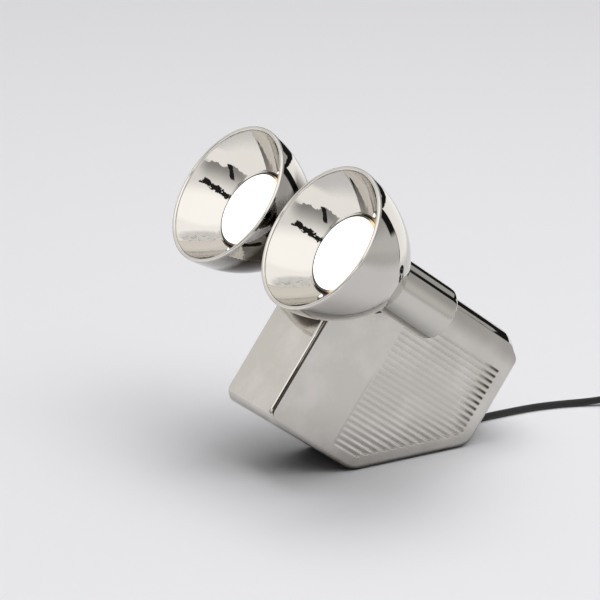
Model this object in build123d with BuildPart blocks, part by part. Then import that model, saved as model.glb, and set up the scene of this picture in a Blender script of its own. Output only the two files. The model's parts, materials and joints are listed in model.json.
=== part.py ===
from build123d import *
import os
from math import asin, cos, degrees, pi, radians, sin, tan

# Tabletop searchlight lamp: a casing that stands on a slanted foot face, with a searchlight
# head on a friction pivot at each side, and a mains cord with an in-line switch and a plug.
# Millimetres, +Z up. The origin is the middle of the foot pad's underside, on the table.
# The beams point towards -Y and upwards. +X is the left side for someone standing behind it.

os.makedirs("parts", exist_ok=True)

# ---------------------------------------------------------------- driving dimensions
beam_rise = 35.6              # degrees from level, when the lamp stands on its foot face

body_width = 76.0
body_front, body_rear = 50.2, 272.2     # measured back along the beam from the lamp discs
body_top, body_bottom = 28.4, -158.8    # measured up from the beam line, square to it
foot_start = 165.6            # where the foot face leaves the underside
wall = 3.0
edge_round = 5.0              # rounding all round both side faces
front_top_round = 8.0
rear_top_round = 22.0
foot_rear_round = 20.0
foot_front_round = 30.0
front_bottom_round = 12.0

head_x = 78.2                 # from the middle of the lamp to each beam line
rim_radius = 69.2
rim_front = -31.8             # the rim stands ahead of the lamp disc
lip_half = 1.9
bowl_back = 57.0
bowl_wall = 1.6
bowl_curve = 119.8            # radius of the bowl's side, about a ring inside the bowl
bowl_curve_back, bowl_curve_radius = -35.16, -50.6
reflector_curve = [(-29.9, 65.4), (-14.3, 54.6), (0.6, 39.7)]     # (back, radius)
neck_radius, neck_back = 38.6, 8.0
reflector_wall = 1.2

arm_rise = 1.2                # the arm's axis lies this much above the head's
arm_radius = 26.0
arm_wall = 2.0
arm_end = 122.4               # where the domed end begins
dome_depth = 9.7

pivot_back = 100.0            # the pivot axis, behind the lamp disc
hub_radius = 18.0
pivot_radius = 5.0            # M10 x 1 hollow threaded tube
pivot_bore = 3.0
running_gap = 0.05
tilt_down, tilt_up = 18.0, 60.0

lamp_radius, lamp_depth = 37.5, 27.5    # GX53 disc lamp
pin_circle = 26.5

sole_proud = 0.8              # the foot pad stands this far out of the foot face
sole_thick = 2.0
plate_thick = 2.5

cord_diameter = 6.8
lead_radius = 2.0

# ---------------------------------------------------------------- the beam's own frame
rise = radians(beam_rise)
SIDE = Vector(1, 0, 0)
BACK = Vector(0, cos(rise), -sin(rise))
UP = Vector(0, sin(rise), cos(rise))

foot_end = body_bottom + (body_rear - foot_start) * tan(rise)
foot_middle = BACK * ((foot_start + body_rear) / 2) + UP * ((body_bottom + foot_end) / 2)
DISC = Vector(0, 0, sole_proud) - foot_middle     # on the beam line, level with the lamp discs


def place(across, back, up):
    """A point given across the lamp, back along the beam and up off it."""
    return DISC + SIDE * across + BACK * back + UP * up


def side_plane(across, back=0.0, up=0.0):
    """Plane along the lamp's side: x runs back, y runs up off the beam."""
    return Plane(origin=place(across, back, up), x_dir=BACK, z_dir=SIDE)


def cross_plane(across, back, up=0.0):
    """Plane square across the beam: x runs across, y runs up, and it faces forwards."""
    return Plane(origin=place(across, back, up), x_dir=SIDE, z_dir=-BACK)


def save(piece, name):
    piece.part.label = name
    export_step(piece.part, f"parts/{name}.step")


def turned_along(profile, across, up=0.0):
    """A piece turned about the beam direction, from its (back, radius) outline."""
    with BuildPart() as piece:
        with BuildSketch(side_plane(across, 0, up)):
            with BuildLine():
                Polyline(*profile, close=True)
            make_face()
        revolve(axis=Axis(place(across, 0, up), BACK))
    return piece


def turned_across(profile, side):
    """A piece turned about the pivot axis, from its (distance across, radius) outline."""
    with BuildPart() as piece:
        with BuildSketch(cross_plane(0, pivot_back)):
            with BuildLine():
                Polyline(*[(side * across, radius) for across, radius in profile], close=True)
            make_face()
        revolve(axis=Axis(place(0, pivot_back, 0), SIDE))
    return piece


# ---------------------------------------------------------------- casing
def body_corners(inset):
    """Corners of the casing's side outline, moved in by inset, with the rounding of each."""
    foot_shift = inset / cos(rise) - inset * tan(rise)
    return [
        ((body_front + inset, body_top - inset), front_top_round),
        ((body_rear - inset, body_top - inset), rear_top_round),
        ((body_rear - inset, foot_end + foot_shift), foot_rear_round),
        ((foot_start - inset * tan(rise / 2), body_bottom + inset), foot_front_round),
        ((body_front + inset, body_bottom + inset), front_bottom_round),
    ]


def body_outline(inset):
    """Sketch of the casing's side outline, moved in by inset."""
    corners = body_corners(inset)
    with BuildSketch(side_plane(0)) as outline:
        with BuildLine():
            Polyline(*[corner for corner, _ in corners], close=True)
        make_face()
        for corner, rounding in corners:
            fillet(vertices().sort_by_distance((*corner, 0))[0], radius=rounding - inset)
    return outline


boss_radius, boss_depth = 12.0, 4.0
opening_x, opening_y = 48.0, 92.0
rebate_x, rebate_y = 62.0, 104.0
ledge_x, ledge_y = 71.0, 111.0
plate_bottom = sole_thick
plate_top = plate_bottom + plate_thick
ledge_top = plate_top + 3.0
plate_screw_x, plate_screw_y = 27.3, 36.0
gland_across, gland_up = -12.0, -55.0
gland_hole = 6.1
rib_front, rib_rear = 130.0, 258.0
rib_top, rib_bottom = -6.0, -147.6
rib_inset = 12.0
rib_count = 24
groove_depth, groove_half = 1.3, 2.5
tab_half, tab_reach = 2.5, 16.5
stop_circle, stop_radius = 14.0, 2.0

rib_pitch = (rib_top - rib_bottom) / rib_count
groove_radius = (groove_half ** 2 + groove_depth ** 2) / (2 * groove_depth)
rib_lift = rib_inset / cos(rise)
rib_outline = [
    (rib_front, rib_top),
    (rib_rear, rib_top),
    (rib_rear, body_bottom + (rib_rear - foot_start) * tan(rise) + rib_lift),
    (foot_start + (rib_bottom - rib_lift - body_bottom) / tan(rise), rib_bottom),
    (rib_front, rib_bottom),
]

with BuildPart() as grooves:
    for side in (-1, 1):
        centre = side * (body_width / 2 + groove_radius - groove_depth)
        with BuildSketch(cross_plane(centre, rib_rear)):
            with Locations(*[(0, rib_top - rib_pitch * (row + 0.5)) for row in range(rib_count)]):
                Circle(groove_radius)
        extrude(amount=rib_rear - rib_front)
    with BuildSketch(side_plane(0)):
        with BuildLine():
            Polyline(*rib_outline, close=True)
        make_face()
        fillet(vertices(), radius=5.0)
    extrude(amount=body_width, both=True, mode=Mode.INTERSECT)

stop_offset = degrees(asin((tab_half + stop_radius) / stop_circle)) + 0.5
stop_angles = (90 - tilt_up - stop_offset, 90 + tilt_down + stop_offset)

with BuildPart() as body_shell:
    extrude(body_outline(0).sketch, amount=body_width / 2, both=True)
    fillet(faces().filter_by(Axis.X).edges(), radius=edge_round)
    extrude(body_outline(wall).sketch, amount=body_width / 2 - wall, both=True, mode=Mode.SUBTRACT)
    # ledge inside the foot face, with its opening, and the rebate for the base plate
    with BuildSketch(Plane.XY.offset(sole_proud + 1)):
        RectangleRounded(ledge_x, ledge_y, 8)
    extrude(amount=ledge_top - sole_proud - 1)
    with BuildSketch(Plane.XY):
        RectangleRounded(opening_x, opening_y, 6)
    extrude(amount=ledge_top, mode=Mode.SUBTRACT)
    with BuildSketch(Plane.XY):
        RectangleRounded(rebate_x, rebate_y, 8)
    extrude(amount=plate_top, mode=Mode.SUBTRACT)
    with BuildSketch(Plane.XY.offset(plate_top)):
        with GridLocations(2 * plate_screw_x, 2 * plate_screw_y, 2, 2):
            Circle(1.5)
    extrude(amount=ledge_top - plate_top, mode=Mode.SUBTRACT)
    # a boss inside each side wall carries the pivot, beside the two stops for its tab washer
    for side in (-1, 1):
        inner = side * (body_width / 2 - wall - boss_depth)
        with BuildSketch(side_plane(inner, pivot_back)):
            Circle(boss_radius)
        extrude(amount=side * (boss_depth + 0.5))
        with BuildSketch(side_plane(inner - side * 3, pivot_back)):
            for angle in stop_angles:
                with PolarLocations(stop_circle, 1, start_angle=angle):
                    Circle(stop_radius)
        extrude(amount=side * (boss_depth + 3.5))
        with BuildSketch(side_plane(inner - side, pivot_back)):
            Circle(pivot_radius + running_gap)
        extrude(amount=side * (boss_depth + wall + 2), mode=Mode.SUBTRACT)
    # hole for the cord gland in the rear face
    with BuildSketch(cross_plane(gland_across, body_rear + 1, gland_up)):
        Circle(gland_hole)
    extrude(amount=wall + 2, mode=Mode.SUBTRACT)
    add(grooves.part, mode=Mode.SUBTRACT)
save(body_shell, "body_shell")

# ---------------------------------------------------------------- base plate, pad and ballast
ballast_x, ballast_front, ballast_rear = 46.0, -44.0, 36.0
ballast_top = 48.5
ballast_screw_y = 26.0
m3, m5 = 1.5, 2.5
m3_head, m5_head = 2.9, 4.7
m3_sink, m5_sink = 1.4, 2.2
plate_gap = 0.3
DOWN = Plane(origin=(0, 0, plate_bottom), x_dir=(1, 0, 0), z_dir=(0, 0, -1))

with BuildPart() as base_plate:
    with BuildSketch(Plane.XY.offset(plate_bottom)):
        RectangleRounded(rebate_x - 2 * plate_gap, rebate_y - 2 * plate_gap, 7.7)
    extrude(amount=plate_thick)
    with Locations(DOWN):
        with GridLocations(2 * plate_screw_x, 2 * plate_screw_y, 2, 2):
            CounterSinkHole(m3 + 0.1, m3_head + 0.1)
        with GridLocations(0, 2 * ballast_screw_y, 1, 2):
            CounterSinkHole(m5 + 0.1, m5_head + 0.1)
save(base_plate, "base_plate")


def sunk_screws(radius, head, sink, length, spacing_x, spacing_y, count_x):
    """Countersunk screws driven up from below the base plate, heads flush with it."""
    with BuildPart() as screws:
        with BuildSketch(Plane.XY.offset(plate_bottom)) as rim:
            with GridLocations(spacing_x, spacing_y, count_x, 2):
                Circle(head)
        with BuildSketch(Plane.XY.offset(plate_bottom + sink)) as shank:
            with GridLocations(spacing_x, spacing_y, count_x, 2):
                Circle(radius)
        for upper, lower in zip(shank.sketch.faces(), rim.sketch.faces()):
            loft([lower, upper])
        extrude(shank.sketch, amount=length - sink)
    return screws


save(sunk_screws(m3, m3_head, m3_sink, ledge_top - plate_bottom, 2 * plate_screw_x,
                 2 * plate_screw_y, 2), "base_screws")
save(sunk_screws(m5, m5_head, m5_sink, 16.0, 0, 2 * ballast_screw_y, 1), "ballast_screws")

with BuildPart() as sole_pad:
    with BuildSketch(Plane.XY):
        RectangleRounded(rebate_x - 1, rebate_y - 1, 7.5)
        with GridLocations(2 * plate_screw_x, 2 * plate_screw_y, 2, 2):
            Circle(m3_head + 0.8, mode=Mode.SUBTRACT)
        with GridLocations(0, 2 * ballast_screw_y, 1, 2):
            Circle(m5_head + 0.8, mode=Mode.SUBTRACT)
    extrude(amount=sole_thick)
save(sole_pad, "sole_pad")

# what stands on the ballast: the cord clamp and the terminal block, each with two screws
clamp_y = 24.0
clamp_width = 8.0
clamp_foot = 1.2
clamp_screw = 8.6
supply_height = ballast_top + 4.1
block_x, block_rear, block_front, block_height = 32.0, 8.0, -10.0, 14.0
block_centre_x = -4.0
block_screw = 11.5
inner_screw_depth = 6.0
inner_screw_spots = [
    (gland_across - clamp_screw, clamp_y, ballast_top + clamp_foot),
    (gland_across + clamp_screw, clamp_y, ballast_top + clamp_foot),
    (block_centre_x - block_screw, -1, ballast_top + block_height - 4),
    (block_centre_x + block_screw, -1, ballast_top + block_height - 4),
]

with BuildPart() as ballast:
    with BuildSketch(Plane.XY.offset(plate_top)):
        with Locations((0, (ballast_front + ballast_rear) / 2)):
            RectangleRounded(ballast_x, ballast_rear - ballast_front, 5)
    extrude(amount=ballast_top - plate_top)
    with BuildSketch(Plane.XY.offset(plate_top)):
        with GridLocations(0, 2 * ballast_screw_y, 1, 2):
            Circle(m5)
    extrude(amount=14, mode=Mode.SUBTRACT)
    with BuildSketch(Plane.XY.offset(ballast_top - inner_screw_depth)):
        with Locations(*[(x, y) for x, y, _ in inner_screw_spots]):
            Circle(m3)
    extrude(amount=inner_screw_depth, mode=Mode.SUBTRACT)
save(ballast, "ballast")

with BuildPart() as inner_screws:
    for x, y, seat in inner_screw_spots:
        with BuildSketch(Plane.XY.offset(ballast_top - inner_screw_depth)):
            with Locations((x, y)):
                Circle(m3)
        extrude(amount=seat - ballast_top + inner_screw_depth)
        with BuildSketch(Plane.XY.offset(seat)):
            with Locations((x, y)):
                Circle(2.75)
        extrude(amount=2.2)
save(inner_screws, "inner_screws")

with BuildPart() as cord_clamp:
    with BuildSketch(Plane(origin=(gland_across, clamp_y + clamp_width / 2, ballast_top),
                           x_dir=(1, 0, 0), z_dir=(0, -1, 0))):
        arch_height = supply_height - ballast_top
        with Locations((0, arch_height)):
            Circle(cord_diameter / 2 + 0.2 + clamp_foot)
        with Locations((0, arch_height / 2)):
            Rectangle(cord_diameter + 0.4 + 2 * clamp_foot, arch_height)
        with Locations((0, arch_height)):
            Rectangle(24, 2 * arch_height, mode=Mode.INTERSECT)
        with Locations((0, clamp_foot / 2)):
            Rectangle(24, clamp_foot)
        with Locations((0, arch_height)):
            Circle(cord_diameter / 2 + 0.2, mode=Mode.SUBTRACT)
        with Locations((0, arch_height / 2)):
            Rectangle(cord_diameter + 0.4, arch_height, mode=Mode.SUBTRACT)
    extrude(amount=clamp_width)
    with BuildSketch(Plane.XY.offset(ballast_top)):
        with Locations(*[(x, y) for x, y, _ in inner_screw_spots[:2]]):
            Circle(m3 + 0.1)
    extrude(amount=clamp_foot, mode=Mode.SUBTRACT)
save(cord_clamp, "cord_clamp")

with BuildPart() as terminal_block:
    with BuildSketch(Plane.XY.offset(ballast_top)):
        with Locations((block_centre_x, (block_rear + block_front) / 2)):
            RectangleRounded(block_x, block_rear - block_front, 2)
    extrude(amount=block_height)
    with BuildSketch(Plane.XY.offset(ballast_top)):
        with Locations(*[(x, y) for x, y, _ in inner_screw_spots[2:]]):
            Circle(m3 + 0.1)
    extrude(amount=block_height, mode=Mode.SUBTRACT)
    with BuildSketch(Plane.XY.offset(ballast_top + block_height - 4)):
        with Locations(*[(x, y) for x, y, _ in inner_screw_spots[2:]]):
            Circle(3.0)
    extrude(amount=4, mode=Mode.SUBTRACT)
save(terminal_block, "terminal_block")

# ---------------------------------------------------------------- searchlight heads
nut_flats = 14.0
bracket_front, bracket_back = 40.0, 41.5
holder_radius, holder_bore = 35.0, 9.0
holder_screw_circle = 20.0
pin_sweep = 20.0              # the lamp twists this far to lock
hub_start = body_width / 2 + 1.0        # a friction washer lies between the casing and the hub
tube_inner_end, tube_outer_end = 18.0, 66.0
saddle_start, saddle_end = 52.0, 60.0
plug_thick = 4.0
nut_backs = [(36.5, 40.0), (41.5, 45.0), (51.4, 55.4), (61.0, 65.0)]
nut_acrosses = [(18.8, 22.3), (22.3, 27.3), (60.0, 64.0)]


def bowl_radius(back, curve):
    """Radius of the bowl's side at a distance back, for its outer or its inner curve."""
    return bowl_curve_radius + (curve ** 2 - (back - bowl_curve_back) ** 2) ** 0.5


def bowl_arc(start, end, curve):
    """Arc of the bowl's side between two distances back."""
    middle = (start + end) / 2
    return ThreePointArc(*[(back, bowl_radius(back, curve)) for back in (start, middle, end)])


def bowl_solid(across):
    """The bowl's outer shape, filled."""
    front = rim_front + lip_half
    with BuildPart() as piece:
        with BuildSketch(side_plane(across)):
            with BuildLine():
                bowl_arc(front, bowl_back, bowl_curve)
                Polyline((bowl_back, bowl_radius(bowl_back, bowl_curve)), (bowl_back, 0),
                         (front, 0), (front, bowl_radius(front, bowl_curve)))
            make_face()
        revolve(axis=Axis(place(across, 0, 0), BACK))
    return piece


def bowl(across):
    """Spun bowl with a flat back, bored for the nipple."""
    front = rim_front + lip_half + 1.3
    inner_curve = bowl_curve - bowl_wall
    inner_back = bowl_back - bowl_wall
    bore = pivot_radius + 0.1
    with BuildPart() as piece:
        with BuildSketch(side_plane(across)):
            with BuildLine():
                bowl_arc(front, bowl_back, bowl_curve)
                Polyline((bowl_back, bowl_radius(bowl_back, bowl_curve)), (bowl_back, bore),
                         (inner_back, bore), (inner_back, bowl_radius(inner_back, inner_curve)))
                bowl_arc(inner_back, front, inner_curve)
                Line((front, bowl_radius(front, inner_curve)),
                     (front, bowl_radius(front, bowl_curve)))
            make_face()
        revolve(axis=Axis(place(across, 0, 0), BACK))
    return piece


def reflector(across):
    """Dished reflector with a half-round lip over the bowl's rim and a neck round the lamp."""
    lip_back = rim_front + lip_half
    lip_foot = lip_back + 1.3
    shift = reflector_wall * 0.7
    outside = [(back + shift, radius + shift) for back, radius in reflector_curve[::-1]]
    outside[-1] = (lip_foot, outside[-1][1])
    neck_start = reflector_curve[-1][0] + 1.1
    with BuildPart() as piece:
        with BuildSketch(side_plane(across)):
            with BuildLine():
                ThreePointArc(*reflector_curve)
                Polyline(reflector_curve[-1], (neck_start, neck_radius), (neck_back, neck_radius),
                         (neck_back, neck_radius + reflector_wall), outside[0])
                ThreePointArc(*outside)
                Polyline(outside[-1], (lip_foot, rim_radius), (lip_back, rim_radius))
                ThreePointArc((lip_back, rim_radius), (rim_front, rim_radius - lip_half),
                              reflector_curve[0])
            make_face()
        revolve(axis=Axis(place(across, 0, 0), BACK))
    return piece


def lamp_diffuser(across):
    """Opal front of the disc lamp."""
    return turned_along([(0, 0), (0, lamp_radius - 1), (1, lamp_radius), (3, lamp_radius), (3, 0)],
                        across)


def lamp_body(across):
    """Disc lamp's housing, with the two headed pins that lock in the holder."""
    profile = [(3, 0), (3, lamp_radius), (18, lamp_radius), (22, holder_radius - 1),
               (lamp_depth, holder_radius - 1), (lamp_depth, 0)]
    housing = turned_along(profile, across)
    with BuildPart() as piece:
        add(housing.part)
        with BuildSketch(cross_plane(across, lamp_depth + 4)):
            with PolarLocations(pin_circle, 2):
                Circle(1.5)
        extrude(amount=4)
        with BuildSketch(cross_plane(across, lamp_depth + 6)):
            with PolarLocations(pin_circle, 2):
                Circle(2.4)
        extrude(amount=2)
    return piece


def lampholder(across):
    """Disc lampholder with two curved slots for the lamp's pins."""
    profile = [(lamp_depth, holder_bore), (lamp_depth, holder_radius),
               (bracket_front, holder_radius), (bracket_front, holder_bore)]
    disc = turned_along(profile, across)
    arcs = [CenterArc((0, 0), pin_circle, start, pin_sweep) for start in (0, 180)]
    with BuildPart() as piece:
        add(disc.part)
        with BuildSketch(cross_plane(across, lamp_depth + 7)):
            for arc in arcs:
                SlotArc(arc, height=6.2)
        extrude(amount=7, mode=Mode.SUBTRACT)
        with BuildSketch(cross_plane(across, bracket_front)):
            with PolarLocations(holder_screw_circle, 2, start_angle=90):
                Circle(m3)
        extrude(amount=7, mode=Mode.SUBTRACT)
    return piece


def holder_bracket(across):
    """Steel disc that carries the lampholder on the nipple."""
    profile = [(bracket_front, pivot_radius + 0.1), (bracket_front, holder_radius),
               (bracket_back, holder_radius), (bracket_back, pivot_radius + 0.1)]
    disc = turned_along(profile, across)
    with BuildPart() as piece:
        add(disc.part)
        with BuildSketch(cross_plane(across, bracket_back)):
            with PolarLocations(holder_screw_circle, 2, start_angle=90):
                Circle(m3 + 0.1)
        extrude(amount=bracket_back - bracket_front, mode=Mode.SUBTRACT)
    return piece


def holder_screws(across):
    """Two screws that hold the lampholder to its bracket."""
    with BuildPart() as piece:
        with BuildSketch(cross_plane(across, bracket_back)):
            with PolarLocations(holder_screw_circle, 2, start_angle=90):
                Circle(m3)
        extrude(amount=bracket_back - bracket_front + 6.5)
        with BuildSketch(cross_plane(across, bracket_back + 2)):
            with PolarLocations(holder_screw_circle, 2, start_angle=90):
                Circle(2.75)
        extrude(amount=2)
    return piece


def head_nipple(across):
    """Hollow threaded nipple from the lampholder through the bowl's back into the arm."""
    return turned_along([(36, pivot_bore), (36, pivot_radius), (66, pivot_radius),
                         (66, pivot_bore)], across)


def nuts(across, side):
    """The M10 nuts on the nipple and on the pivot tube."""
    with BuildPart() as piece:
        for front, back in nut_backs:
            with BuildSketch(cross_plane(across, back)):
                RegularPolygon(nut_flats / 2, 6, major_radius=False)
                Circle(pivot_radius, mode=Mode.SUBTRACT)
            extrude(amount=back - front)
        for near, far in nut_acrosses:
            with BuildSketch(side_plane(side * near, pivot_back)):
                RegularPolygon(nut_flats / 2, 6, major_radius=False)
                Circle(pivot_radius, mode=Mode.SUBTRACT)
            extrude(amount=side * (far - near))
    return piece


def arm_plug(across):
    """Disc inside the front of the arm, drawn up against the bowl's back by the nipple."""
    with BuildPart() as piece:
        with BuildSketch(cross_plane(across, bowl_back + plug_thick)):
            with Locations((0, arm_rise)):
                Circle(arm_radius - arm_wall - running_gap)
            Circle(pivot_radius + 0.1, mode=Mode.SUBTRACT)
        extrude(amount=plug_thick)
    return piece


dome_radius = (arm_radius ** 2 + dome_depth ** 2) / (2 * dome_depth)
dome_centre = arm_end + dome_depth - dome_radius
bore_radius = arm_radius - arm_wall
bore_end = dome_centre + ((dome_radius - arm_wall) ** 2 - bore_radius ** 2) ** 0.5


def dome_arc(radius, start_radius):
    """Arc of the arm's domed end, from its edge to its middle."""
    middle = start_radius / 2
    return ThreePointArc(*[(dome_centre + (radius ** 2 - height ** 2) ** 0.5, height)
                           for height in (start_radius, middle, 0)])


def arm_tube(across, side, bowl_shape):
    """Arm with a domed end, shaped to the bowl at its front and bored for the pivot tube."""
    front = bowl_back - 5
    with BuildPart() as piece:
        with BuildSketch(side_plane(across, 0, arm_rise)):
            with BuildLine():
                Polyline((front, bore_radius), (front, arm_radius), (arm_end, arm_radius))
                dome_arc(dome_radius, arm_radius)
                Line((dome_centre + dome_radius, 0), (dome_centre + dome_radius - arm_wall, 0))
                dome_arc(dome_radius - arm_wall, bore_radius)
                Line((bore_end, bore_radius), (front, bore_radius))
            make_face()
        revolve(axis=Axis(place(across, 0, arm_rise), BACK))
        add(bowl_shape, mode=Mode.SUBTRACT)
        with BuildSketch(side_plane(across, pivot_back)):
            Circle(pivot_radius + 0.1)
        extrude(amount=-side * arm_radius * 1.1, mode=Mode.SUBTRACT)
    return piece


def arm_saddle(across, side):
    """Block inside the arm, shaped to its bore, that the pivot nut pulls against."""
    with BuildPart() as piece:
        with BuildSketch(side_plane(side * saddle_start, pivot_back)):
            Rectangle(30, 26)
        extrude(amount=side * (saddle_end - saddle_start))
        with BuildSketch(cross_plane(across, pivot_back + 15)):
            with Locations((0, arm_rise)):
                Circle(bore_radius - running_gap)
        extrude(amount=30, mode=Mode.INTERSECT)
        with BuildSketch(side_plane(side * saddle_start, pivot_back)):
            Circle(pivot_radius)
        extrude(amount=side * (saddle_end - saddle_start), mode=Mode.SUBTRACT)
    return piece


def pivot_hub(across, side):
    """Round hub between the casing and the arm, with its outer end cut to the arm's tube."""
    reach = 24.0
    with BuildPart() as piece:
        with BuildSketch(side_plane(side * hub_start, pivot_back)):
            Circle(hub_radius)
            Circle(pivot_radius, mode=Mode.SUBTRACT)
        extrude(amount=side * reach)
        with BuildSketch(cross_plane(across, pivot_back + hub_radius + 1)):
            with Locations((0, arm_rise)):
                Circle(arm_radius)
        extrude(amount=2 * hub_radius + 2, mode=Mode.SUBTRACT)
    return piece


def stop_washer(side):
    """Steel washer locked to the pivot tube, whose tab meets the casing's stops."""
    with BuildPart() as piece:
        with BuildSketch(side_plane(side * 28.5, pivot_back)):
            Circle(11)
            with Locations((0, tab_reach / 2)):
                Rectangle(2 * tab_half, tab_reach)
            Circle(pivot_radius, mode=Mode.SUBTRACT)
        extrude(amount=side * 1.5)
    return piece


def tube(route, radius, radii):
    """A round tube along straight runs joined by arcs."""
    with BuildPart() as piece:
        with BuildLine() as path:
            FilletPolyline(*route, radius=radii)
        with BuildSketch(Plane(origin=path.line @ 0, z_dir=path.line % 0)):
            Circle(radius)
        sweep()
    return piece


lead_bend = 12.0
lead_split = tube_inner_end - 1.0

for name, side in (("left", 1), ("right", -1)):
    across = side * head_x
    save(bowl(across), f"{name}_bowl")
    save(reflector(across), f"{name}_reflector")
    save(lamp_diffuser(across), f"{name}_lamp_diffuser")
    save(lamp_body(across), f"{name}_lamp_body")
    save(lampholder(across), f"{name}_lampholder")
    save(holder_bracket(across), f"{name}_holder_bracket")
    save(holder_screws(across), f"{name}_holder_screws")
    save(head_nipple(across), f"{name}_head_nipple")
    save(nuts(across, side), f"{name}_nuts")
    save(arm_plug(across), f"{name}_arm_plug")
    save(arm_tube(across, side, bowl_solid(across).part), f"{name}_arm_tube")
    save(arm_saddle(across, side), f"{name}_arm_saddle")
    save(pivot_hub(across, side), f"{name}_pivot_hub")
    pivot_tube = turned_across([(tube_inner_end, pivot_bore), (tube_inner_end, pivot_radius),
                                (tube_outer_end, pivot_radius), (tube_outer_end, pivot_bore)],
                               side)
    save(pivot_tube, f"{name}_pivot_tube")
    disc_spring = turned_across([(27.3, 5.2), (27.3, 5.8), (27.9, 9.5), (28.5, 9.5), (28.5, 9.0),
                                 (27.9, 5.2)], side)
    save(disc_spring, f"{name}_disc_spring")
    save(stop_washer(side), f"{name}_stop_washer")
    lead_route = [place(across, 33, 0), place(across, pivot_back, 0),
                  place(side * lead_split, pivot_back, 0)]
    save(tube(lead_route, lead_radius, [lead_bend]), f"{name}_lead")

# a fibre washer on each side of both casing walls: the hub and the tab washer rub on them
washer_bore = pivot_radius + 0.4
with BuildPart() as friction_washers:
    for side in (-1, 1):
        for near, far, radius in ((30, 31, 11), (body_width / 2, hub_start, hub_radius - 1)):
            with BuildSketch(side_plane(side * near, pivot_back)):
                Circle(radius)
                Circle(washer_bore, mode=Mode.SUBTRACT)
            extrude(amount=side * (far - near))
save(friction_washers, "friction_washers")

# ---------------------------------------------------------------- leads inside the casing
block_top = ballast_top + block_height
lead_x = 4.0
lead_tubes = []
for side in (-1, 1):
    route = [place(side * lead_split, pivot_back, 0), place(side * lead_x, pivot_back, 0),
             Vector(side * lead_x, -1, block_top + 27), Vector(side * lead_x, -1, block_top)]
    lead_tubes.append(tube(route, lead_radius, [lead_bend, 80.0]).part)
with BuildPart() as inner_leads:
    add(lead_tubes)
save(inner_leads, "inner_leads")

gland_inner, gland_end = 263.5, 296.2
gland_start = place(gland_across, gland_inner, gland_up)
climb = (supply_height - gland_start.Z) / sin(rise)
supply_route = [gland_start, gland_start - BACK * climb,
                Vector(gland_across, block_rear, supply_height)]
save(tube(supply_route, cord_diameter / 2, [20.0]), "supply_lead")

# ---------------------------------------------------------------- cord, switch, coil and plug
gland_profile = [
    (gland_inner, 0), (gland_inner, 9), (body_rear - wall, 9), (body_rear - wall, 6.05),
    (body_rear, 6.05), (body_rear, 9), (body_rear + 2.5, 8.5), (body_rear + 3, 6.6),
    (gland_end, 4.3), (gland_end, 0),
]
with BuildPart() as cord_gland:
    with BuildSketch(side_plane(gland_across, 0, gland_up)):
        with BuildLine():
            Polyline(*gland_profile, close=True)
        make_face()
    revolve(axis=Axis(place(gland_across, 0, gland_up), BACK))
save(cord_gland, "cord_gland")

cord_radius = cord_diameter / 2
on_table = cord_radius
switch_length, switch_width, switch_height = 62.0, 26.0, 16.0
switch_axis = 7.5
exit_point = place(gland_across, gland_end, gland_up)
touch_down = exit_point + BACK * ((exit_point.Z - on_table) / sin(rise))
cord_route = [
    exit_point,
    touch_down,
    Vector(-13.2, 126.0, on_table),
    Vector(-12.9, 152.0, on_table),
    Vector(-11.6, 181.0, on_table),
    Vector(-5.2, 210.0, on_table),
    Vector(4.2, 234.5, 4.3),
    Vector(13.4, 253.7, switch_axis),
]
switch_heading = radians(26.5)          # from +Y towards +X
ALONG = Vector(sin(switch_heading), cos(switch_heading), 0)
ACROSS = Vector(-cos(switch_heading), sin(switch_heading), 0)
switch_start = cord_route[-1] + ALONG * 16
cord_route.append(switch_start)
switch_end = switch_start + ALONG * switch_length

coil_radius = 34.5
turn_pitch = 7.8              # between neighbouring turns in the tied bundle
bundle_bottom = 0.8           # the tie passes under the turns
coil_entry = Vector(76.5, 403.0, bundle_bottom + cord_radius)
entry_angle, leave_angle = radians(-10), radians(170)
turn_outer = coil_radius + turn_pitch / 2
coil_centre = coil_entry - Vector(cos(entry_angle), sin(entry_angle), 0) * turn_outer
row_height = turn_pitch * sin(radians(60))
top_row = bundle_bottom + cord_radius + 2 * row_height
tail_route = [
    switch_end,
    switch_end + ALONG * 14,
    Vector(64.0, 357.5, 4.7),
    Vector(71.5, 380.0, bundle_bottom + cord_radius),
    coil_entry,
]

LEAVING = Vector(-sin(leave_angle), cos(leave_angle), 0)
leave_point = coil_centre + Vector(cos(leave_angle), sin(leave_angle), 0) * turn_outer
leave_point.Z = top_row
plug_axis = 6.9
end_heights = [(15, top_row + 0.3), (29, top_row - 1.9), (43, top_row - 7.0), (58, plug_axis)]
plug_reach = 72.0
plug_point = leave_point + LEAVING * plug_reach
plug_point.Z = plug_axis
end_route = [leave_point]
for distance, height in end_heights:
    step = leave_point + LEAVING * distance
    end_route.append(Vector(step.X, step.Y, height))
end_route.append(plug_point)


def bend_radii(route, label):
    """Largest arcs that each pair of runs allows, printed with their runs."""
    radii = []
    for before, corner, after in zip(route, route[1:], route[2:]):
        turn = (corner - before).get_angle(after - corner)
        shorter = min((corner - before).length, (after - corner).length)
        radii.append(0.45 * shorter / tan(radians(turn) / 2))
    print(label, "radii", [round(radius) for radius in radii])
    return radii


def free_cord(route, label):
    """A stretch of the cord; its volume is printed beside its section times its length."""
    radii = bend_radii(route, label)
    piece = tube(route, cord_radius, radii)
    length = FilletPolyline(*route, radius=radii).length
    section = pi * cord_radius ** 2
    print(label, "length", round(length, 1), "volume", round(piece.part.volume),
          "of", round(section * length))
    return piece


bundle_foot = turn_pitch / 2 + cord_radius * 0.7
bundle_half = turn_pitch + cord_radius
bundle_height = 2 * row_height + cord_diameter
bundle = [(-bundle_foot, 0), (bundle_foot, 0), (bundle_half, bundle_height / 2),
          (bundle_foot, bundle_height), (-bundle_foot, bundle_height),
          (-bundle_half, bundle_height / 2)]
coil_axis = Axis(tuple(coil_centre), (0, 0, 1))


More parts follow.
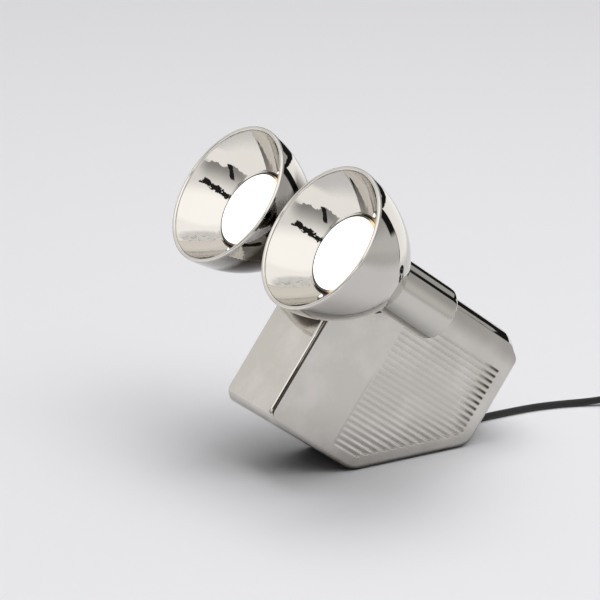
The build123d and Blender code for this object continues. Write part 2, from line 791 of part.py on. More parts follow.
def coil_plane(angle):
    """Upright plane through the coil's axis: x runs outwards from the middle of the turns."""
    outward = Vector(cos(angle), sin(angle), 0)
    origin = Vector(coil_centre.X, coil_centre.Y, bundle_bottom) + outward * coil_radius
    return Plane(origin=origin, x_dir=outward, z_dir=(sin(angle), -cos(angle), 0))


with BuildPart() as cord_coil:
    with BuildSketch(coil_plane(0)):
        with BuildLine():
            Polyline(*bundle, close=True)
        make_face()
        fillet(vertices(), radius=2.5)
    revolve(axis=coil_axis)
save(cord_coil, "cord_coil")

tie_thick, tie_width = 0.8, 12.0
with BuildPart() as coil_tie:
    with BuildSketch(coil_plane(radians(-120))):
        with BuildLine():
            Polyline(*bundle, close=True)
        make_face()
        fillet(vertices(), radius=2.5)
        offset(amount=tie_thick)
        with BuildLine():
            Polyline(*bundle, close=True)
        make_face(mode=Mode.SUBTRACT)
    revolve(axis=coil_axis, revolution_arc=degrees(tie_width / coil_radius))
save(coil_tie, "coil_tie")

mains_cord = free_cord(cord_route, "mains_cord")
save(mains_cord, "mains_cord")
for route, label in ((tail_route, "cord_tail"), (end_route, "cord_end")):
    whole = free_cord(route, label)
    with BuildPart() as stretch:
        add(whole.part)
        add(cord_coil.part, mode=Mode.SUBTRACT)
    save(stretch, label)

# in-line switch, parted at the cord's height
switch_middle = switch_start + ALONG * (switch_length / 2)
switch_wall = 1.8
rocker_opening_x, rocker_opening_y = 17.0, 9.4
rocker_axis = 11.0
rocker_tilt = 8.0
rocker_centre = Vector(switch_middle.X, switch_middle.Y, rocker_axis)
boss_spots = [(-22, 6), (22, -6)]


def switch_plane(height):
    return Plane(origin=(switch_middle.X, switch_middle.Y, height), x_dir=ALONG, z_dir=(0, 0, 1))


with BuildPart() as switch_base:
    with BuildSketch(switch_plane(0)):
        RectangleRounded(switch_length, switch_width, 9)
    extrude(amount=switch_axis)
    fillet(edges().filter_by(Plane.XY).group_by(Axis.Z)[0], radius=1.5)
    with BuildSketch(switch_plane(switch_wall)):
        RectangleRounded(switch_length - 2 * switch_wall, switch_width - 2 * switch_wall, 7.2)
        with Locations(*boss_spots):
            Circle(3, mode=Mode.SUBTRACT)
    extrude(amount=switch_axis, mode=Mode.SUBTRACT)
    with BuildSketch(switch_plane(0)):
        with Locations(*boss_spots):
            Circle(m3 + 0.1)
    extrude(amount=switch_axis, mode=Mode.SUBTRACT)
    with BuildSketch(switch_plane(0)):
        with Locations(*boss_spots):
            Circle(2.5)
    extrude(amount=2, mode=Mode.SUBTRACT)
save(switch_base, "switch_base")

with BuildPart() as switch_cover:
    with BuildSketch(switch_plane(switch_axis)):
        RectangleRounded(switch_length, switch_width, 9)
    extrude(amount=switch_height - switch_axis)
    fillet(edges().filter_by(Plane.XY).group_by(Axis.Z)[-1], radius=3)
    with BuildSketch(switch_plane(switch_axis)):
        RectangleRounded(switch_length - 2 * switch_wall, switch_width - 2 * switch_wall, 7.2)
        with Locations(*boss_spots):
            Circle(3, mode=Mode.SUBTRACT)
        for half in (-1, 1):
            with Locations((0, half * (rocker_opening_y / 2 + 1.2))):
                Rectangle(10, 2.4, mode=Mode.SUBTRACT)
    extrude(amount=switch_height - switch_wall - switch_axis, mode=Mode.SUBTRACT)
    with BuildSketch(switch_plane(switch_axis)):
        Rectangle(rocker_opening_x, rocker_opening_y)
        with Locations(*boss_spots):
            Circle(1.4)
    extrude(amount=switch_height, mode=Mode.SUBTRACT)
    with BuildSketch(Plane(origin=rocker_centre, x_dir=ALONG, z_dir=-ACROSS)):
        Circle(m3 + running_gap)
    extrude(amount=rocker_opening_y / 2 + 2.0, both=True, mode=Mode.SUBTRACT)
save(switch_cover, "switch_cover")

with BuildPart() as switch_screws:
    with BuildSketch(switch_plane(0.5)):
        with Locations(*boss_spots):
            Circle(2.4)
    extrude(amount=1.5)
    with BuildSketch(switch_plane(2)):
        with Locations(*boss_spots):
            Circle(1.4)
    extrude(amount=10)
save(switch_screws, "switch_screws")

tilt = radians(rocker_tilt)
rocker_outline = [(-7.2, 6.4), (0, 5.5), (7.2, 6.4), (7.0, 3.4), (3.0, -2.6), (-3.0, -2.6),
                  (-7.0, 3.4)]
rocker_plane = Plane(origin=rocker_centre, x_dir=ALONG * cos(tilt) + Vector(0, 0, sin(tilt)),
                     z_dir=-ACROSS)
with BuildPart() as switch_rocker:
    with BuildSketch(rocker_plane):
        with BuildLine():
            Polyline(*rocker_outline, close=True)
        make_face()
    extrude(amount=rocker_opening_y / 2 - 0.2, both=True)
    with BuildSketch(rocker_plane):
        Circle(m3)
    extrude(amount=rocker_opening_y / 2 + 1.8, both=True)
save(switch_rocker, "switch_rocker")

plug_plane = Plane(origin=(plug_point.X, plug_point.Y, 0), x_dir=LEAVING, z_dir=(0, 0, 1))
plug_outline = [(0, -4.4), (13, -6.6), (20, -17.6), (36, -17.6), (36, 17.6), (20, 17.6),
                (13, 6.6), (0, 4.4)]
with BuildPart() as plug_body:
    with BuildSketch(plug_plane):
        with BuildLine():
            Polyline(*plug_outline, close=True)
        make_face()
    extrude(amount=2 * plug_axis)
    fillet(edges().filter_by(Axis.Z), radius=3)
    fillet(edges().filter_by(Plane.XY), radius=2)
save(plug_body, "plug_body")

with BuildPart() as plug_pins:
    pin_plane = Plane(origin=plug_point + LEAVING * 36, x_dir=(LEAVING.Y, -LEAVING.X, 0),
                      z_dir=LEAVING)
    with BuildSketch(pin_plane):
        with Locations((-9.3, 0), (9.3, 0)):
            Circle(2)
    extrude(amount=19)
    fillet(edges().sort_by(Axis(tuple(plug_point), tuple(LEAVING)))[-2:], radius=1.2)
save(plug_pins, "plug_pins")
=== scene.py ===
# %% [markdown]
# # A searchlight table lamp
#
# The lamp is a thick wedge that stands on its slanted foot, with a searchlight head at each
# side and a cloth-covered mains cord. Everything on it is mirror-bright silver, so its looks
# come from two things: surfaces that bend reflections smoothly, and a studio worth reflecting.
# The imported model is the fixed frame. Each visible shell is worked out again with numpy as a
# smooth surface that takes its CAD node's place, and the small parts keep their CAD shape.

# %% Load the frame
import json
from math import atan2, cos, degrees, pi, radians, sin, tan

import bmesh
import bpy
import numpy as np
from mathutils import Matrix, Vector

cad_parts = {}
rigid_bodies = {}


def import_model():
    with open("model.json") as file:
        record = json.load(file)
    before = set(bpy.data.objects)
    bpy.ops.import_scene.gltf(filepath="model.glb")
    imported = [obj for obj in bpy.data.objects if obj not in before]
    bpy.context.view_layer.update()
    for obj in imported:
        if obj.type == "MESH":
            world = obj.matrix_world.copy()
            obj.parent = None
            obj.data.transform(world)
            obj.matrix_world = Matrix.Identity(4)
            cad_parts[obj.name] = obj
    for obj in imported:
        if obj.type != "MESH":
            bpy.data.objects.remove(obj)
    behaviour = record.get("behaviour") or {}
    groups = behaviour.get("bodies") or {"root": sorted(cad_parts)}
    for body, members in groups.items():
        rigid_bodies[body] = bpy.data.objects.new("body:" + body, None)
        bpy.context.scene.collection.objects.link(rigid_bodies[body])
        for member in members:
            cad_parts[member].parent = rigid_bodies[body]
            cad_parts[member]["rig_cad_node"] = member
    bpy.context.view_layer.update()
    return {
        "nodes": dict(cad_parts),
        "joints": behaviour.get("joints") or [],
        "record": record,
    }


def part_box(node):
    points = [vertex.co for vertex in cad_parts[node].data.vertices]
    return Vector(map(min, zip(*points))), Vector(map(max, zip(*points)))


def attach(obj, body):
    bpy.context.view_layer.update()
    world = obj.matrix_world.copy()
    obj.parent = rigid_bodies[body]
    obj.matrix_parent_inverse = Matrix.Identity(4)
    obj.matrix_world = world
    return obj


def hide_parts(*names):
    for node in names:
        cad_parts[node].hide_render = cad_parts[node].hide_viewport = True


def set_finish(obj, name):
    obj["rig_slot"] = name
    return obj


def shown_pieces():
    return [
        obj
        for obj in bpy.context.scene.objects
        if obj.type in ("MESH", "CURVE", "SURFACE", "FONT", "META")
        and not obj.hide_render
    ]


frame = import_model()
MM = 0.001

# %% [markdown]
# ## The beam's own directions
#
# Nearly everything on this lamp is square to its beams, and the beams point 35.6 degrees
# upwards. So a point is given as three distances: across the lamp, back along the beam and
# up off it. The heads' pivot lies 100 mm behind the lamp discs, which fixes the start.

# %% Beam directions
rise = radians(35.6)
SIDE = np.array([1.0, 0.0, 0.0])
BACK = np.array([0.0, cos(rise), -sin(rise)])
UP = np.array([0.0, sin(rise), cos(rise)])
pivot_back = 100 * MM
tilt_joint = next(joint for joint in frame["joints"] if joint["name"] == "left_head_tilt")
DISC = np.array([0.0, *tilt_joint["pos_m"][1:]]) - BACK * pivot_back


def place(across, back, up):
    """World points from distances across, back and up, given as numbers or arrays."""
    across, back, up = np.broadcast_arrays(across, back, up)
    return DISC + across[..., None] * SIDE + back[..., None] * BACK + up[..., None] * UP


print("disc plane on the middle line:", DISC.round(4))

# %% [markdown]
# ## Camera
#
# A long lens from about two and a half metres, a little above the lamp, looks across its left
# side. The lens makes the wedge's edges nearly parallel, as they are in a product view.

# %% Camera
camera_place = Vector((2.03237, -1.40699, 0.94549))
camera_azimuth, camera_elevation, camera_roll = radians(57.2872), radians(18.0097), radians(1.1686)
away = Vector((sin(camera_azimuth) * cos(camera_elevation),
               -cos(camera_azimuth) * cos(camera_elevation), sin(camera_elevation)))
camera = bpy.data.objects.new("camera", bpy.data.cameras.new("camera"))
camera.data.lens = 169.436
camera.data.sensor_width = 36
camera.data.clip_end = 50
turn = (-away).to_track_quat("-Z", "Y").to_matrix() @ Matrix.Rotation(camera_roll, 3, "Z")
camera.matrix_world = Matrix.Translation(camera_place) @ turn.to_4x4()
bpy.context.scene.collection.objects.link(camera)
bpy.context.scene.camera = camera
print("camera looks down", round(degrees(camera_elevation), 1), "degrees")

# %% [markdown]
# ## The cord's route
#
# The mains cord is a real length of something flexible: 1.8 m from gland to plug, covered in
# cloth, with an in-line switch after the first stretch. It drops out of the gland and lies in a
# lazy bend on the table, and what isn't needed is wound into a tied coil with the plug beside
# it. A cloth simulation could lay it, but a cord that only rests on a table needs no forces. So
# each stretch is one NURBS spline, which never kinks, through listed control points.

# %% From the gland to the switch
cord_diameter = 6.8 * MM
cord_radius = cord_diameter / 2
on_table = cord_radius
gland_across, gland_up, gland_end = -12 * MM, -55 * MM, 296.2 * MM
exit_point = place(gland_across, gland_end, gland_up)
touch_down = exit_point + BACK * ((exit_point[2] - on_table) / sin(rise))
switch_axis, switch_length, switch_heading = 7.5 * MM, 62 * MM, radians(26.5)
run_in, run_out = 16 * MM, 14 * MM
ALONG = np.array([sin(switch_heading), cos(switch_heading), 0.0])
first_route = [
    exit_point,
    touch_down,
    (-0.0132, 0.1260, on_table),
    (-0.0129, 0.1520, on_table),
    (-0.0116, 0.1810, on_table),
    (-0.0052, 0.2100, on_table),
    (0.0042, 0.2345, 0.0043),
    (0.0134, 0.2537, switch_axis),
]
switch_start = np.array(first_route[-1]) + ALONG * run_in
switch_end = switch_start + ALONG * switch_length
first_route.append(switch_start)
print("first stretch:", len(first_route), "points, to", switch_start.round(3))

# %% [markdown]
# ## The coil
#
# A coil wound by hand is a bundle of turns a few deep. A spiral would be simpler, but its turns
# would all lie in one row. So each turn has a place in the bundle: how far out from the middle
# of the turns it lies, and in which row. The route runs through the seven places in order, with
# a short crossing from each to the next.

# %% Coil
coil_radius, turn_pitch, bundle_bottom = 34.5 * MM, 7.8 * MM, 0.8 * MM
coil_entry = np.array([0.0765, 0.4030, bundle_bottom + cord_radius])
entry_angle, leave_angle = radians(-10), radians(170)
turn_outer = coil_radius + turn_pitch / 2
row_height = turn_pitch * sin(radians(60))
sites = [(0.5, 0), (1.0, 1), (0.0, 1), (-0.5, 0), (-1.0, 1), (-0.5, 2), (0.5, 2)]
first_crossing, crossing_step, crossing_length = 300, -40, 40
whole_turns, turn_step = 6, 20
spline_shrink = 0.9895      # a quadratic spline runs this much inside its polygon of 18 sides


def level(angle):
    """The level unit direction at an angle round the coil."""
    return np.array([cos(angle), sin(angle), 0.0])


def coil_points(centre):
    """The coil's control points: a circle at an angle that grows evenly.

    Its radius is the coil's plus the place's distance out, and its height is the place's row
    times the row height. Each turn keeps its place until it crosses to the next.
    """
    wound = np.arange(0, 360 * whole_turns + 181, turn_step, dtype=float)
    outward = np.full(len(wound), sites[0][0])
    row = np.full(len(wound), float(sites[0][1]))
    for number, (before, after) in enumerate(zip(sites, sites[1:])):
        start = first_crossing + (360 + crossing_step) * number
        share = np.clip((wound - start) / crossing_length, 0, 1)
        outward += (after[0] - before[0]) * share
        row += (after[1] - before[1]) * share
    angle = entry_angle + np.radians(wound)
    reach = (coil_radius + outward * turn_pitch) / spline_shrink
    return np.stack([centre[0] + reach * np.cos(angle), centre[1] + reach * np.sin(angle),
                     bundle_bottom + cord_radius + row * row_height], axis=1)


coil_centre = coil_entry - level(entry_angle) * turn_outer
coil_route = coil_points(coil_centre)
print("coil:", len(coil_route), "points round", coil_centre.round(3))

# %% [markdown]
# ## To the plug
#
# The last stretch leaves the top of the coil sideways, drops to the table and runs straight into
# the plug. It has few points, because a cord under its own weight bends slowly. With the coil
# and the run from the switch it makes one spline.

# %% From the switch to the plug
plug_axis = 6.9 * MM
top_row = bundle_bottom + cord_radius + 2 * row_height
leave_point = coil_centre + level(leave_angle) * turn_outer
end_heights = [(15, top_row + 0.3 * MM), (29, top_row - 1.9 * MM), (43, top_row - 7.0 * MM),
               (58, plug_axis), (72, plug_axis)]
end_route = []
for distance, height in end_heights:
    end_point = leave_point + level(leave_angle + pi / 2) * distance * MM
    end_route.append((end_point[0], end_point[1], height))
tail_route = [
    switch_end,
    switch_end + ALONG * run_out,
    (0.0640, 0.3575, 0.0047),
    (0.0715, 0.3800, bundle_bottom + cord_radius),
]
second_route = [*tail_route, *coil_route, *end_route]
print("second stretch:", len(second_route), "points")

# %% [markdown]
# ## Meshes from arrays
#
# Every smooth shape here is a surface of two parameters, worked out with numpy as a grid of
# points. Blender could also model it with modifiers, but on a mirror each tiny dent shows, and a
# formula has none. These helpers turn a grid into a mesh in one step, join neighbours with
# quads, and merge poles and seams so that the shell is closed.


# %% Mesh helpers
def mesh_object(name, points, faces, slot=None):
    """A mesh from an array of points and an array of faces that all have the same corners."""
    mesh = bpy.data.meshes.new(name)
    mesh.vertices.add(len(points))
    mesh.vertices.foreach_set("co", np.asarray(points, np.float32).ravel())
    mesh.loops.add(faces.size)
    mesh.loops.foreach_set("vertex_index", faces.astype(np.int32).ravel())
    mesh.polygons.add(len(faces))
    starts = np.arange(0, faces.size, faces.shape[1], dtype=np.int32)
    mesh.polygons.foreach_set("loop_start", starts)
    mesh.update(calc_edges=True)
    piece = bpy.data.objects.new(name, mesh)
    bpy.context.scene.collection.objects.link(piece)
    if slot:
        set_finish(piece, slot)
    return piece


def grid_faces(rows, columns, closed_columns=True, closed_rows=False, first=0):
    """Quads between the neighbours of a grid; a closed direction joins its last to its first."""
    index = first + np.arange(rows * columns).reshape(rows, columns)
    if closed_columns:
        index = np.concatenate([index, index[:, :1]], axis=1)
    if closed_rows:
        index = np.concatenate([index, index[:1]], axis=0)
    corners = [index[:-1, :-1], index[:-1, 1:], index[1:, 1:], index[1:, :-1]]
    return np.stack(corners, axis=-1).reshape(-1, 4)


def merged(piece):
    """The piece's mesh, open for editing, with its poles and seams merged."""
    shape = bmesh.new()
    shape.from_mesh(piece.data)
    bmesh.ops.remove_doubles(shape, verts=shape.verts, dist=1e-7)
    bmesh.ops.dissolve_degenerate(shape, edges=shape.edges, dist=1e-8)
    return shape


def close_up(piece, crease=35):
    """Merges poles and seams, points the faces outwards and keeps only real edges sharp."""
    shape = merged(piece)
    bmesh.ops.recalc_face_normals(shape, faces=shape.faces)
    shape.to_mesh(piece.data)
    shape.free()
    piece.data.shade_smooth()
    piece.data.set_sharp_from_angle(angle=radians(crease))
    return piece


def read(collection, attribute, width, kind):
    """One attribute of all items in a mesh collection, as an array."""
    values = np.empty(len(collection) * width, kind)
    collection.foreach_get(attribute, values)
    return values.reshape(-1, width) if width > 1 else values


print("a closed grid of 3 by 4 has", len(grid_faces(3, 4)), "faces")

# %% [markdown]
# ## Reading a spline
#
# A cord could be a curve with a round bevel. But the braid's pattern has to follow it, and a
# bevelled curve gives no map in the cord's own measure. So Blender only works out the NURBS
# spline, and its points are read back and spaced evenly along the cord.


# %% Spline points
def spline_points(name, route, spacing=2 * MM):
    """Points of the NURBS spline through a route's control points, spaced along its length."""
    curve = bpy.data.curves.new(name, "CURVE")
    curve.dimensions = "3D"
    spline = curve.splines.new("NURBS")
    spline.points.add(len(route) - 1)
    spline.points.foreach_set("co", np.array([(*point, 1.0) for point in route]).ravel())
    spline.order_u = 3
    spline.use_endpoint_u = True
    spline.resolution_u = 12
    holder = bpy.data.objects.new(name, curve)
    bpy.context.scene.collection.objects.link(holder)
    shown = holder.evaluated_get(bpy.context.evaluated_depsgraph_get())
    mesh = bpy.data.meshes.new_from_object(shown)
    points = read(mesh.vertices, "co", 3, float)
    bpy.data.objects.remove(holder)
    bpy.data.meshes.remove(mesh)
    steps = np.linalg.norm(np.diff(points, axis=0), axis=1)
    run = np.concatenate([[0], np.cumsum(steps)])
    marks = np.linspace(0, run[-1], int(run[-1] / spacing) + 1)
    return np.stack([np.interp(marks, run, points[:, axis]) for axis in range(3)], axis=1), run[-1]


print("first stretch:", round(spline_points("measure", first_route)[1], 4), "m")

# %% [markdown]
# ## A tube with a braid's UV map
#
# The cord is a ring of points carried along those points. Each ring is turned from the last by
# the smallest possible step, because any other way would twist the braid in the bends. The UV
# map runs round the cord one way and along it the other, in cord diameters, so the cloth's
# pattern has the same size everywhere.


# %% Cord tube
def carried_frames(path):
    """Two directions square to the path at each point, turned as little as possible."""
    ahead = np.gradient(path, axis=0)
    ahead /= np.linalg.norm(ahead, axis=1)[:, None]
    across = np.empty_like(path)
    across[0] = np.cross(ahead[0], (0, 0, 1))
    for step in range(1, len(path)):
        across[step] = across[step - 1] - ahead[step] * (across[step - 1] @ ahead[step])
        across[step] /= np.linalg.norm(across[step])
    across[0] /= np.linalg.norm(across[0])
    return across, np.cross(ahead, across)


def cord_tube(name, route, slot, around=20):
    """A round tube along the route's spline, with a UV map that follows the cord.

    Each point is the path's point plus the radius times (cos t across + sin t over).
    """
    path, length = spline_points(name, route)
    across, over = carried_frames(path)
    turn = np.linspace(0, 2 * pi, around, endpoint=False)
    ring = np.cos(turn)[:, None] * across[:, None] + np.sin(turn)[:, None] * over[:, None]
    points = path[:, None] + cord_radius * ring
    piece = mesh_object(name, points.reshape(-1, 3), grid_faces(len(path), around), slot)
    run = np.linspace(0, length, len(path)) / cord_diameter
    u = np.arange(around + 1) / around
    cell_u = np.stack([u[:-1], u[1:], u[1:], u[:-1]], axis=-1)
    cell_v = np.stack([run[:-1], run[:-1], run[1:], run[1:]], axis=-1)
    uv = np.stack(np.broadcast_arrays(cell_u[None], cell_v[:, None]), axis=-1)
    braid = piece.data.uv_layers.new(name="braid")
    braid.data.foreach_set("uv", uv.astype(np.float32).ravel())
    piece.data.shade_smooth()
    print(name, "length", round(length, 3), "m")
    return piece, path, length


first_cord, first_path, first_length = cord_tube("lamp_cord", first_route, "cord_cloth")
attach(first_cord, "casing")
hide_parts("mains_cord")
second_cord, second_path, second_length = cord_tube("stored_cord", second_route, "cord_cloth")
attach(second_cord, "casing")
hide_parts("cord_tail", "cord_coil", "cord_end")
print("whole cord", round(first_length + switch_length + second_length, 2), "m with its switch")

# %% [markdown]
# ## Building node trees
#
# A material is a tree of nodes. It could be drawn by hand in the editor, but a script can be
# read, repeated and changed in one place. A few helpers keep the recipes readable. *ramp* turns
# a measure, such as a distance, into a mask with a soft border, and *region* multiplies several
# ramps, which bounds an area on all sides.


# %% Node helpers
def node(tree, kind, settings=(), **inputs):
    """A new shader node; inputs go by name, or by place as i0, i1, and take values or outputs."""
    made = tree.nodes.new("ShaderNode" + kind)
    for key, value in dict(settings).items():
        setattr(made, key, value)
    for key, value in inputs.items():
        socket = made.inputs[int(key[1:]) if key[1:].isdigit() else key]
        if isinstance(value, bpy.types.NodeSocket):
            tree.links.new(value, socket)
        else:
            socket.default_value = value
    return made


def maths(tree, operation, first, second=0.0):
    """One step of arithmetic on shader values."""
    return node(tree, "Math", {"operation": operation}, i0=first, i1=second).outputs[0]


def times(tree, first, second):
    """Two shader values multiplied."""
    return maths(tree, "MULTIPLY", first, second)


def dot(tree, direction, normal):
    """The dot product of a direction or place with a fixed normal."""
    return node(tree, "VectorMath", {"operation": "DOT_PRODUCT"}, i0=direction,
                i1=tuple(normal)).outputs["Value"]


def stretch(tree, value, start, end, low=0.0, high=1.0, kind="LINEAR"):
    """A value's range from start to end, stretched to the range from low to high."""
    return node(tree, "MapRange", {"interpolation_type": kind}, i0=value, i1=start,
                i2=end, i3=low, i4=high).outputs[0]


def ramp(tree, value, low, high):
    """0 at low and 1 at high, smooth between; low may be the larger."""
    if low < high:
        return stretch(tree, value, low, high, 0.0, 1.0, "SMOOTHSTEP")
    return stretch(tree, value, high, low, 1.0, 0.0, "SMOOTHSTEP")


def region(tree, *bounds):
    """The product of a ramp for each (value, low, high)."""
    mask = ramp(tree, *bounds[0])
    for bound in bounds[1:]:
        mask = times(tree, mask, ramp(tree, *bound))
    return mask


def noise(tree, spot, scale, detail, roughness=0.5, distortion=0.0):
    """A cloudy value around 0.5."""
    return node(tree, "TexNoise", Vector=spot, Scale=scale, Detail=detail,
                Roughness=roughness, Distortion=distortion).outputs[0]


def tinted(tree, mask, low, high):
    """A colour that goes from low to high with a mask; each may come from another node."""
    shades = [shade if isinstance(shade, bpy.types.NodeSocket) else (*shade, 1)
              for shade in (low, high)]
    return node(tree, "Mix", {"data_type": "RGBA"}, i0=mask, i6=shades[0],
                i7=shades[1]).outputs[2]


print("node helpers: node, maths, ramp, region, noise, tinted")

# %% [markdown]
# ## Effects shared by several finishes
#
# Two effects come back in most finishes. Nothing made by hand is quite flat, so *waves* gives a
# normal that leans by a degree or so over a few centimetres, which bends reflections. Nothing
# handled is quite even, so *smudges* gives a mask of soft cloudy patches that changes roughness
# a little. As node groups, each is built once and set differently in every material.

# %% Shader groups
FLOAT, VECTOR = "NodeSocketFloat", "NodeSocketVector"


def new_group(name, inputs, outputs):
    """An empty shader node group, what it is given and where its results go."""
    group = bpy.data.node_groups.new(name, "ShaderNodeTree")
    for label, value in inputs:
        socket = group.interface.new_socket(label, in_out="INPUT", socket_type=FLOAT)
        socket.default_value = value
    for label, kind in outputs:
        group.interface.new_socket(label, in_out="OUTPUT", socket_type=kind)
    given = group.nodes.new("NodeGroupInput").outputs
    return group, given, group.nodes.new("NodeGroupOutput").inputs


def waves_group():
    """A normal that leans slowly over distances of Size, with finer ripples on top."""
    group, given, result = new_group(
        "waves", [("Size", 0.04), ("Height", 0.0001), ("Fine", 0.2)], [("Normal", VECTOR)])
    spot = node(group, "TexCoord").outputs["Object"]
    rate = maths(group, "DIVIDE", 1.0, given["Size"])
    slow = noise(group, spot, rate, 1.5, 0.4)
    fast = noise(group, spot, times(group, rate, 4.3), 2.0)
    both = maths(group, "ADD", slow, times(group, fast, given["Fine"]))
    lean = node(group, "Bump", Height=times(group, both, given["Height"]),
                Strength=1.0, Distance=1.0)
    group.links.new(lean.outputs["Normal"], result["Normal"])
    return group


def smudges_group():
    """A mask of soft patches, and a roughness from Low to High that follows it."""
    group, given, result = new_group(
        "smudges", [("Size", 0.03), ("Low", 0.04), ("High", 0.09)],
        [("Roughness", FLOAT), ("Mask", FLOAT)])
    spot = node(group, "TexCoord").outputs["Object"]
    cloud = noise(group, spot, maths(group, "DIVIDE", 1.0, given["Size"]), 4.0, 0.6)
    mask = stretch(group, cloud, 0.45, 0.75)
    rough = stretch(group, mask, 0.0, 1.0, given["Low"], given["High"])
    group.links.new(rough, result["Roughness"])
    group.links.new(mask, result["Mask"])
    return group


waves, smudges = waves_group(), smudges_group()
print("groups:", [group.name for group in bpy.data.node_groups])

# %% [markdown]
# ## Starting a material
#
# All opaque finishes start the same way: a colour, a roughness from *smudges* and a normal from
# *waves*, linked to one Principled shader. Three helpers do that, so that each recipe below only
# says what is its own.


# %% Material helpers
def use(tree, group, **values):
    """A copy of a group in a material, with its own values."""
    made = tree.nodes.new("ShaderNodeGroup")
    made.node_tree = group
    for label, value in values.items():
        made.inputs[label].default_value = value
    return made


def blank(name):
    """A new material: its tree and its Principled shader."""
    material = bpy.data.materials.new(name)
    material.use_nodes = True
    return material, material.node_tree, material.node_tree.nodes["Principled BSDF"]


def dress(tree, shader, colour, touch, shape, metallic):
    """Links a colour and the two shared effects to the shader."""
    tree.links.new(colour, shader.inputs["Base Color"])
    tree.links.new(touch.outputs["Roughness"], shader.inputs["Roughness"])
    tree.links.new(shape.outputs["Normal"], shader.inputs["Normal"])
    shader.inputs["Metallic"].default_value = metallic


print("material helpers: use, blank, dress")

# %% [markdown]
# ## Silver
#
# The casing, bowls and arms are one finish on the real lamp: bright silver, a little warm. A
# mirror's colour is what it gives back of the light. Here that is about six tenths, so a second
# bounce is visibly darker than the first, which gives polished metal its depth. Painted shade
# darkens the colour where a wall close by hides the surface. A painted texture would tie it to one
# shape, so Ambient Occlusion finds the hidden places; the sides of the heads that face each other
# get painted shade too.

# %% Silver finishes
# Colour of the painted shade that ambient occlusion lays where walls hide the metal.
occlusion_shade = (0.085, 0.07, 0.058)


def silver(name, low, high, wave_size, wave_height, fine, roughness, reach, bare=0.52, inner=None):
    """Mirror-bright metal with slow waves, clouds of tint, and painted shade in hidden places.

    reach is how far a wall still shades the surface, and bare is the openness from which no
    painted shade is laid. From inner back, the sides facing the other head get painted shade.
    """
    material, tree, shader = blank(name)
    touch = use(tree, smudges, Size=0.045, Low=roughness, High=roughness + 0.02)
    shape = use(tree, waves, Size=wave_size, Height=wave_height, Fine=fine)
    spot = node(tree, "TexCoord").outputs
    specks = noise(tree, spot["Object"], 110.0, 4.0, 0.7)
    openness = node(tree, "AmbientOcclusion", {"samples": 6}, Distance=reach)
    torn = maths(tree, "ADD", times(tree, specks, 0.16), openness.outputs["AO"])
    unshaded = stretch(tree, torn, bare - 0.14, bare)
    # Painted shade on the sides of the heads that face each other, from inner back.
    if inner is not None:
        side = maths(tree, "SIGN", dot(tree, spot["Object"], SIDE))
        inwards = times(tree, dot(tree, spot["Normal"], SIDE), side)
        inwards = maths(tree, "ADD", inwards, times(tree, specks, 0.12))
        back = maths(tree, "ADD", dot(tree, spot["Object"], BACK), times(tree, specks, 8 * MM))
        start = float(DISC @ BACK) + inner
        hidden = region(tree, (inwards, 0.0, -0.2), (back, start, start + 9 * MM),
                        (dot(tree, spot["Normal"], UP), 0.8, 0.5))
        unshaded = times(tree, unshaded, maths(tree, "SUBTRACT", 1.0, hidden))
    bright = tinted(tree, touch.outputs["Mask"], low, high)
    dress(tree, shader, tinted(tree, unshaded, occlusion_shade, bright), touch, shape, 1.0)
    return material


casing_silver = silver("casing_silver", (0.580, 0.560, 0.520), (0.680, 0.640, 0.605),
                       0.07, 0.0005, 0.10, 0.02, 0.09)
dish_silver = silver("dish_silver", (0.62, 0.60, 0.565), (0.64, 0.61, 0.58),
                     0.05, 0.00022, 0.22, 0.004, 0.012)
bowl_silver = silver("bowl_silver", (0.60, 0.58, 0.545), (0.63, 0.60, 0.57),
                     0.05, 0.00022, 0.15, 0.008, 0.09, 0.72, -12 * MM)
arm_silver = silver("arm_silver", (0.59, 0.572, 0.532), (0.62, 0.59, 0.555),
                    0.06, 0.0003, 0.10, 0.015, 0.11, 0.78, 0.0)
hub_silver = silver("hub_silver", (0.56, 0.55, 0.53), (0.58, 0.56, 0.54),
                    0.03, 0.0001, 0.1, 0.12, 0.05)
print("silvers:", [material.name for material in bpy.data.materials if "silver" in material.name])

# %% [markdown]
# ## Turned shapes
#
# Bowl, reflector and lamp front were spun or moulded round. The Screw modifier could turn an
# outline too, but its rings follow the outline's corners. Here the outline of distance back and
# radius is carried round the beam with its round stretches as true arcs through three points, in
# rings so close together that a mirror finish shows no facets.


# %% Turned shapes
def arc(start, middle, end, count):
    """Points on the circle through three points, from the first to the last.

    The centre is where the perpendicular bisectors of the points' connecting lines meet.
    """
    (x1, y1), (x2, y2), (x3, y3) = start, middle, end
    square1, square2, square3 = x1 * x1 + y1 * y1, x2 * x2 + y2 * y2, x3 * x3 + y3 * y3
    scale = 2 * (x1 * (y2 - y3) + x2 * (y3 - y1) + x3 * (y1 - y2))
    cx = (square1 * (y2 - y3) + square2 * (y3 - y1) + square3 * (y1 - y2)) / scale
    cy = (square1 * (x3 - x2) + square2 * (x1 - x3) + square3 * (x2 - x1)) / scale
    first, via, last = (atan2(y - cy, x - cx) for x, y in (start, middle, end))
    sweep = (last - first) % (2 * pi)
    if (via - first) % (2 * pi) > sweep:
        sweep -= 2 * pi
    angles = first + sweep * np.linspace(0, 1, count)
    radius = ((x1 - cx) ** 2 + (y1 - cy) ** 2) ** 0.5
    return np.stack([cx + radius * np.cos(angles), cy + radius * np.sin(angles)], axis=1)


def turned(name, outline, across, slot, around=144):
    """A closed (back, radius) outline in millimetres, carried round the beam direction.

    At each angle t a point lies radius cos t across, back along the beam and radius sin t up.
    """
    back, radius = np.asarray(outline, float).T * MM
    turn = np.linspace(0, 2 * pi, around, endpoint=False)
    points = place(across + radius[:, None] * np.cos(turn), back[:, None] + 0 * turn,
                   radius[:, None] * np.sin(turn))
    faces = grid_faces(len(back), around, closed_rows=True)
    return close_up(mesh_object(name, points.reshape(-1, 3), faces, slot))


